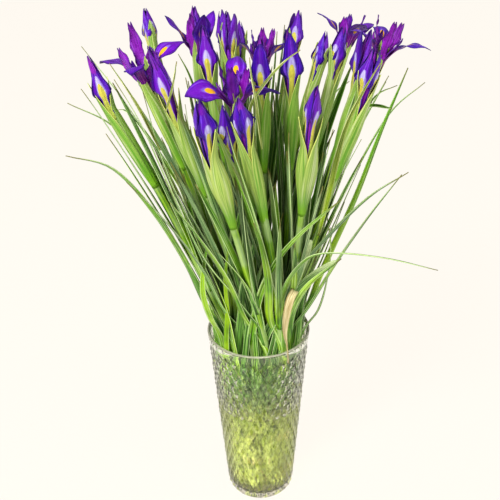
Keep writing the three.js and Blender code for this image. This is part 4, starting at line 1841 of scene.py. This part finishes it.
@dataclass(frozen=True)
class Spread:
    """A petal of an open flower.

    Attributes:
        length: Its length.
        outline: Its shape.
        furled: How it leans out along its length while the flower is closed, in degrees.
        open: The same in an open flower.
        root: How far from the flower's middle it starts.
        sunk: How far under the sheath's mouth it starts.
    """

    length: float
    outline: Outline
    furled: tuple[float, ...]
    open: tuple[float, ...]
    root: float
    sunk: float = 5.0

    def path(self, head: Head, angle: float, size: float, opened: float) -> Path:
        """Lays the petal's middle line.

        Args:
            head: Where the flower sits.
            angle: The petal's angle round the flower, in degrees.
            size: The petal's size.
            opened: How wide the flower is open, 0 to 1.

        Returns:
            The path.
        """
        t = np.linspace(0, 1, 48)
        furled, wide = ease(self.furled, t), ease(self.open, t)
        lean = np.radians(furled + (wide - furled) * opened)
        stride = self.length * size / (len(t) - 1)
        out = head.out(angle)
        outwards = self.root + np.cumsum(np.sin(lean)) * stride
        upwards = np.cumsum(np.cos(lean)) * stride
        points = head.mouth + out * outwards[:, None] + head.up * upwards[:, None]
        sunk = head.mouth + out * self.root * 0.8 - head.up * self.sunk
        points = np.concatenate([[sunk], points])
        lean = np.concatenate([[lean[0]], lean])
        uppers = head.up * np.sin(lean)[:, None] - out * np.cos(lean)[:, None]
        return Path(points, uppers)


@dataclass
class Flower:
    """The violet part of an iris: a bud, an opening flower or a bloom."""

    petal_thickness: float = 0.35
    widest_bend: float = 2.5
    wound_grid: Grid = (14, 26)
    spread_grid: Grid = (14, 36)
    bud_fall: Furled = Furled(
        length=40,
        radii=(3.6, 3.8, 4.0, 4.5, 5.5, 4.9, 3.6, 2.0, 0.25),
        wraps=(88, 86, 86, 92, 98, 90, 76, 52, 14),
        twist=1.2, spiral=0.1, flare=0.5,
    )
    opening_fall: Furled = Furled(
        length=41,
        radii=(3.5, 3.7, 3.9, 4.3, 5.3, 4.9, 3.7, 2.1, 0.25),
        wraps=(50, 46, 43, 48, 66, 66, 60, 46, 12),
        twist=0.2, spiral=0.05, flare=1.0,
    )
    inner: Furled = Furled(
        length=42,
        radii=(2.2, 2.6, 3.2, 3.9, 3.8, 3.0, 1.9, 0.2),
        wraps=(80, 80, 84, 90, 90, 80, 60, 20),
        twist=0.9, spiral=0.12,
    )
    fall: Spread = Spread(
        length=48,
        outline=Outline(
            widths=(5, 5.8, 6.2, 6.4, 7.6, 11.5, 15, 14, 8.5, 0.6),
            cups=(2.4, 2.2, 1.9, 1.5, 1.0, 0.3, -0.2, -0.5, -0.5, -0.3),
            ruffle=1.4, waves=2.4, ragged=0.025,
        ),
        furled=(10, 6, 2, 0, 0),
        open=(18, 36, 58, 94, 126),
        root=3.4,
    )
    standard: Spread = Spread(
        length=42,
        outline=Outline(
            widths=(3.5, 3.8, 4.8, 6.4, 8.0, 9.0, 9.2, 7.6, 4.4),
            cups=(2.6, 2.2, 1.8, 1.5, 1.2, 1.0, 0.8, 0.6, 0.4),
            ruffle=1.8, waves=3.2, notch=0.06, rounding=0.12, twist=0.5, ragged=0.08,
        ),
        furled=(12, 4, 0, -8),
        open=(18, 18, 14, 10),
        root=3.2,
    )
    style: Spread = Spread(
        length=30,
        outline=Outline(
            widths=(3.5, 5, 7, 8.5, 9.5, 9, 7),
            cups=(-1.0, -1.3, -1.6, -1.6, -1.3, -0.9, -0.6),
            ruffle=0.5, waves=3.0, notch=0.3, rounding=0.12,
        ),
        furled=(2, 0, 0),
        open=(6, 40, 14),
        root=1.2,
    )

    def wound(
        self, stock: SheetStock, axis: Axis, kind: Furled, turn: float, finish: Finish, chance: Chance
    ) -> list[Piece]:
        """Winds three petals round the flower's middle.

        Args:
            stock: Where they are cut from.
            axis: The line up through the flower.
            kind: What they are like.
            turn: How far they are wound on beside the iris's first petal, in degrees.
            finish: The finish they wear.
            chance: Random numbers.

        Returns:
            The petals.
        """
        iris = IRISES[axis.iris]
        sheets = []
        for k in range(3):
            flare = 3.2 + 10 * iris.open + float(chance.uniform(-0.8, 0.8))
            peel = iris.peel if k == 0 and kind is self.opening_fall else 0.0
            tip = float(chance.uniform(0.0, 1.6)) + peel
            size = iris.size * float(chance.uniform(0.94, 1.0))
            skin = partial(kind.skin, axis, iris.wound + turn + 120 * k, size, flare, tip)
            sheets.append(stock.cut(self.wound_grid, skin, finish, float(chance.uniform(0, 1))))
        return sheets

    def spread(
        self, stock: SheetStock, i: int, head: Head, kind: Spread, turn: float, finish: Finish, chance: Chance
    ) -> list[Piece]:
        """Sets three petals of an open flower round its middle.

        Args:
            stock: Where they are cut from.
            i: The iris.
            head: Where the flower sits.
            kind: What they are like.
            turn: The angle of the first one, in degrees.
            finish: The finish they wear.
            chance: Random numbers.

        Returns:
            The petals.
        """
        iris = IRISES[i]
        sheets = []
        for k in range(3):
            angle = turn + 120 * k + float(chance.uniform(-5, 5))
            share = float(chance.uniform(0.76, 1.04)) if kind is self.standard else 1.0
            share *= iris.lead if kind is self.standard and k == 2 else 1.0
            path = kind.path(head, angle, iris.size * share, iris.open)
            roll = float(iris.rolls[k]) if kind is self.fall else 0.0
            surface = kind.outline.on(path, float(chance.uniform(0, 6)), roll)
            sheets.append(stock.cut(self.spread_grid, surface, finish, float(chance.uniform(0, 1))))
        return sheets

    def build(self, stock: SheetStock, bunch: Bunch, i: int, chance: Chance) -> Piece:
        """Builds a flower.

        Args:
            stock: Where its petals are cut from.
            bunch: The bunch.
            i: Its iris.
            chance: Random numbers.

        Returns:
            The flower as one piece.
        """
        iris, head = IRISES[i], bunch.head(i)
        axis = Axis(bunch, i, tuple(chance.uniform(-self.widest_bend, self.widest_bend, 2)))
        if iris.flowering is Flowering.BUD:
            sheets = self.wound(stock, axis, self.bud_fall, 0, BUD_FALL, chance)
        elif iris.flowering is Flowering.OPENING:
            sheets = self.wound(stock, axis, self.opening_fall, 0, BUD_FALL, chance)
            sheets += self.wound(stock, axis, self.inner, 60, STANDARD_PETAL, chance)
        else:
            sheets = self.spread(stock, i, head, self.fall, 0, OPEN_FALL, chance)
            if iris.bare:
                sheets[0].data.materials[0] = BARE_FALL.material()
            sheets += self.spread(stock, i, head, self.standard, 60, STANDARD_PETAL, chance)
            sheets += self.spread(stock, i, head, self.style, 0, STYLE_PETAL, chance)
        return assemble(f"iris_{i + 1:02d}_petals", sheets, self.petal_thickness)


@dataclass
class IrisPlants:
    """All the irises of the bunch, and the loose leaves among them."""

    bunch: Bunch = field(default_factory=Bunch)
    stock: SheetStock = field(default_factory=SheetStock)
    stalk: Stalk = field(default_factory=Stalk)
    foliage: Foliage = field(default_factory=Foliage)
    flower: Flower = field(default_factory=Flower)
    seed: int = 7

    def build(self) -> None:
        """Builds every iris in place of its two nodes, and then the loose leaves."""
        chance = np.random.default_rng(self.seed)
        leaves = self.foliage.placed(self.bunch)
        for i, iris in enumerate(IRISES):
            node = f"iris_{i + 1:02d}"
            tone = float(np.clip(0.85 - iris.girth + chance.uniform(-0.25, 0.25), 0, 1))
            green = self.stalk.build(self.stock, self.bunch, i, tone)
            green.append(self.foliage.build(self.stock, self.bunch, i, leaves, chance))
            for piece in green:
                settle(piece, "foliage", f"{node}_green")
            petals = self.flower.build(self.stock, self.bunch, i, chance)
            kind = "bud" if iris.flowering is Flowering.BUD else "bloom"
            settle(petals, "petals", f"{node}_{kind}")
        for leaf in LOOSE_LEAVES:
            settle(leaf.build(self.stock), "foliage")
        self.stock.put_away()


def settle(piece: Piece, slot: str, *nodes: str) -> None:
    """Puts a finished piece on the body.

    Args:
        piece: The piece.
        slot: Not used.
        *nodes: The nodes of the solids that it takes the place of.
    """
    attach(piece, "root")
    if nodes:
        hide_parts(*nodes)
    LOG.info("%s: %d faces", piece.name, len(piece.data.polygons))


# ---- Vase and water ----------------------------------------------------------------------------


@dataclass
class CutGlassVase:
    """The vase: a tapering tumbler with two sets of grooves that cross and leave diamonds."""

    height: float = 200.0
    rim_radius: float = 49.5
    heel_radius: float = 35.5
    heel_height: float = 7.0
    heel_ring: tuple[float, float] = (33.9, 2.0)
    foot_radius: float = 31.0
    wall: float = 3.6
    floor: float = 7.0
    inner_corner: float = 5.0
    lattice: DiamondCut = DiamondCut()
    plain_above: float = 3.0
    lip: float = 2.6
    lip_bevel: float = 1.5
    lip_band: float = 1.4
    glass_crease: float = 12.0
    water_level: float = 115.0
    water_crease: float = 50.0
    wet: float = 0.15
    climbs: tuple[tuple[float, float], ...] = ((0.8, 0.9), (2.6, 1.3))
    tolerance: float = 0.001

    def wall_radius(self, z: float) -> float:
        """Outside radius of the straight wall."""
        t = (z - self.heel_height) / (self.height - self.heel_height)
        return self.heel_radius + (self.rim_radius - self.heel_radius) * t

    def inner_radius(self, z: float) -> float:
        """Inside radius."""
        return self.wall_radius(z) - self.wall

    def turned(self, name: str, profile: list[tuple[float, float]]) -> Piece:
        """Raises a round body ring by ring.

        Args:
            name: Its name.
            profile: Radius and height of each ring, from the middle of the foot outwards.

        Returns:
            The closed body, in edit mode, with its last ring selected.
        """
        deselect()
        radius, level = profile[0]
        bpy.ops.mesh.primitive_circle_add(
            vertices=2 * self.lattice.columns,
            radius=radius * MM,
            location=(0, 0, level * MM),
            fill_type="NGON",
        )
        bpy.ops.object.transform_apply(location=True, rotation=True, scale=True)
        body = bpy.context.object
        body.name = body.data.name = name
        bpy.ops.object.mode_set(mode="EDIT")
        bpy.ops.mesh.select_all(action="SELECT")
        for after, height in profile[1:]:
            bpy.ops.mesh.extrude_region_move(
                TRANSFORM_OT_translate={"value": (0, 0, (height - level) * MM)}
            )
            share = after / radius
            bpy.ops.transform.resize(value=(share, share, 1), center_override=(0, 0, height * MM))
            radius, level = after, height
        return body

    def build(self) -> Piece:
        """Builds the glass and cuts its diamonds.

        Returns:
            The vase.
        """
        cut = self.lattice
        cuts = [cut.low + cut.rise * row for row in range(cut.rows + 1)]
        profile = [(self.foot_radius, 0.0), self.heel_ring]
        profile += [(self.wall_radius(z), z) for z in (*cuts, cut.high + self.plain_above, self.height)]
        low = self.floor + self.inner_corner
        profile += [
            (self.rim_radius - self.lip, self.height),
            (self.inner_radius(cut.high), cut.high),
            (self.inner_radius(low), low),
            (self.inner_radius(self.floor) - self.inner_corner / 2, self.floor),
        ]
        body = self.turned("cut_glass_vase", profile)
        self.groove(body, cuts)
        bpy.ops.object.mode_set(mode="OBJECT")
        self.round_lip(body)
        body.data.materials.append(GLASS.material())
        body.data.materials.append(LIP.material())
        # Faces of the lip band wear the lip's painted reflection.
        for face in body.data.polygons:
            if face.center.z > (self.height - self.lip_band) * MM:
                face.material_index = 1
        bpy.ops.object.shade_smooth_by_angle(angle=math.radians(self.glass_crease))
        return body

    def groove(self, body: Piece, cuts: list[float]) -> None:
        """Presses every other point of each cut ring inwards and splits the faces along the grooves.

        Args:
            body: The vase, in edit mode.
            cuts: The heights of the rings.
        """
        bpy.ops.mesh.select_all(action="DESELECT")
        bpy.ops.mesh.select_mode(type="VERT")
        bpy.ops.object.mode_set(mode="OBJECT")
        for vertex in body.data.vertices:
            x, y, z = vertex.co / MM
            row = round((z - cuts[0]) / (cuts[1] - cuts[0]))
            on_cut = 0 <= row < len(cuts) and abs(z - cuts[row]) < 0.01
            outside = math.hypot(x, y) > self.wall_radius(z) - 0.5
            column = round(math.atan2(y, x) / math.pi * self.lattice.columns)
            if on_cut and outside and (row + column) % 2 == 0:
                share = 1 - self.lattice.depth / math.hypot(x, y)
                vertex.co = Vector((x * share, y * share, z)) * MM
        for face in body.data.polygons:
            middle = face.center / MM
            outside = middle.xy.length > self.wall_radius(middle.z) - 1.5
            face.select = cuts[0] < middle.z < cuts[-1] and outside
        bpy.ops.object.mode_set(mode="EDIT")
        bpy.ops.mesh.select_mode(type="FACE")
        bpy.ops.mesh.quads_convert_to_tris(quad_method="SHORTEST_DIAGONAL")

    def round_lip(self, body: Piece) -> None:
        """Rounds the two edges of the lip.

        Args:
            body: The vase, in object mode.
        """
        near, top = self.tolerance * MM, self.height * MM
        for edge in body.data.edges:
            ends = [body.data.vertices[k].co for k in edge.vertices]
            level = all(abs(end.z - top) < near for end in ends)
            ring = abs(ends[0].xy.length - ends[1].xy.length) < near
            edge.select = level and ring
        for vertex in body.data.vertices:
            vertex.select = abs(vertex.co.z - top) < near
        for face in body.data.polygons:
            face.select = False
        bpy.ops.object.mode_set(mode="EDIT")
        bpy.ops.mesh.select_mode(type="EDGE")
        bpy.ops.mesh.bevel(offset=self.lip_bevel * MM, segments=4)
        bpy.ops.object.mode_set(mode="OBJECT")

    def fill(self) -> Piece:
        """Builds the water, which wets the glass and climbs a little up it.

        Returns:
            The water.
        """
        low, level = self.floor + self.inner_corner, self.water_level
        profile = [
            (self.inner_radius(self.floor) - self.inner_corner / 2, self.floor - self.wet),
            (self.inner_radius(low) + self.wet, low),
            (self.inner_radius(level) + self.wet, level),
        ]
        profile += [(self.inner_radius(level) - into, level - down) for into, down in self.climbs]
        body = self.turned("vase_water", profile)
        bpy.ops.object.mode_set(mode="OBJECT")
        body.data.materials.append(WATER.material())
        bpy.ops.object.shade_smooth_by_angle(angle=math.radians(self.water_crease))
        return body


# ---- Setting -----------------------------------------------------------------------------------


@dataclass
class Studio:
    """The pale floor, the soft lights and the camera where the photo was taken from, in metres."""

    camera_place: Point = (0.0, -0.54, 0.577)
    pitch: float = 28.5
    yaw: float = -0.7
    roll: float = -1.2
    focal_share: float = 676 / 500
    sensor: float = 36.0
    floor_radius: float = 14.0
    floor_colour: str = "3a3936"
    floor_glow: str = "fffaf2"
    floor_strength: float = 0.82
    sky: str = "fffdf4"
    sky_strength: float = 0.25
    aim: Point = (0.0, 0.0, 0.3)

    def build(self) -> None:
        """Sets everything up."""
        self.floor()
        self.lights()
        self.camera()

    def floor(self) -> None:
        """A wide pale floor under the vase."""
        deselect()
        bpy.ops.mesh.primitive_circle_add(vertices=64, radius=self.floor_radius, fill_type="NGON")
        floor = bpy.context.object
        floor.name = "studio_floor"
        r = Recipe("studio_floor")
        r.set(Base_Color=self.floor_colour, Roughness=0.9, Specular_IOR_Level=0.0)
        r.set(Emission_Color=self.floor_glow, Emission_Strength=self.floor_strength)
        floor.data.materials.append(r.material)

    def lights(self) -> None:
        """A large soft key light on the left, weaker ones on the right and in front, and an even sky."""
        world = bpy.data.worlds.new("studio_sky")
        world.use_nodes = True
        sky = world.node_tree.nodes["Background"]
        sky.inputs["Color"].default_value = linear(self.sky)
        sky.inputs["Strength"].default_value = self.sky_strength
        bpy.context.scene.world = world
        self.softbox("key", (-0.9, -1.2, 1.6), 0.5, 38.5)
        self.softbox("fill", (1.3, -0.9, 1.0), 0.9, 9.0)
        self.softbox("front", (0.15, -1.7, 0.95), 0.6, 6.0)

    def softbox(self, name: str, place: Point, size: float, power: float) -> None:
        """Hangs a square soft light that looks at the flowers.

        Args:
            name: Its name.
            place: Where it hangs.
            size: The length of its sides.
            power: Its power in watts.
        """
        lamp = bpy.data.lights.new(name, "AREA")
        lamp.size = size
        lamp.energy = power
        box = bpy.data.objects.new(name, lamp)
        box.location = place
        ahead = Vector(self.aim) - Vector(place)
        box.rotation_euler = ahead.to_track_quat("-Z", "Y").to_euler()
        bpy.context.collection.objects.link(box)

    def camera(self) -> None:
        """The camera, from the angle of the photo."""
        yaw, pitch, roll = (math.radians(a) for a in (self.yaw, self.pitch, self.roll))
        level = math.cos(pitch)
        ahead = Vector((math.sin(yaw) * level, math.cos(yaw) * level, -math.sin(pitch)))
        right = Vector((math.cos(yaw), -math.sin(yaw), 0))
        up = right.cross(ahead)
        tilted = right * math.cos(roll) + up * math.sin(roll)
        up = up * math.cos(roll) - right * math.sin(roll)
        lens = bpy.data.cameras.new("camera")
        lens.sensor_width = self.sensor
        lens.lens = self.sensor * self.focal_share
        camera = bpy.data.objects.new("camera", lens)
        turn = Matrix((tilted, up, -ahead)).transposed().to_4x4()
        camera.matrix_world = Matrix.Translation(self.camera_place) @ turn
        bpy.context.collection.objects.link(camera)
        bpy.context.scene.camera = camera


def main() -> None:
    """Builds the vase, the water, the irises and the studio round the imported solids."""
    logging.basicConfig(level=logging.INFO, format="%(name)s: %(message)s")
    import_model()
    bpy.context.scene.view_settings.view_transform = "Standard"
    bpy.context.scene.view_settings.look = "Medium High Contrast"
    vase = CutGlassVase()
    settle(vase.build(), "glass", "vase")
    settle(vase.fill(), "water", "water")
    IrisPlants().build()
    Studio().build()


if __name__ == "__main__":
    main()
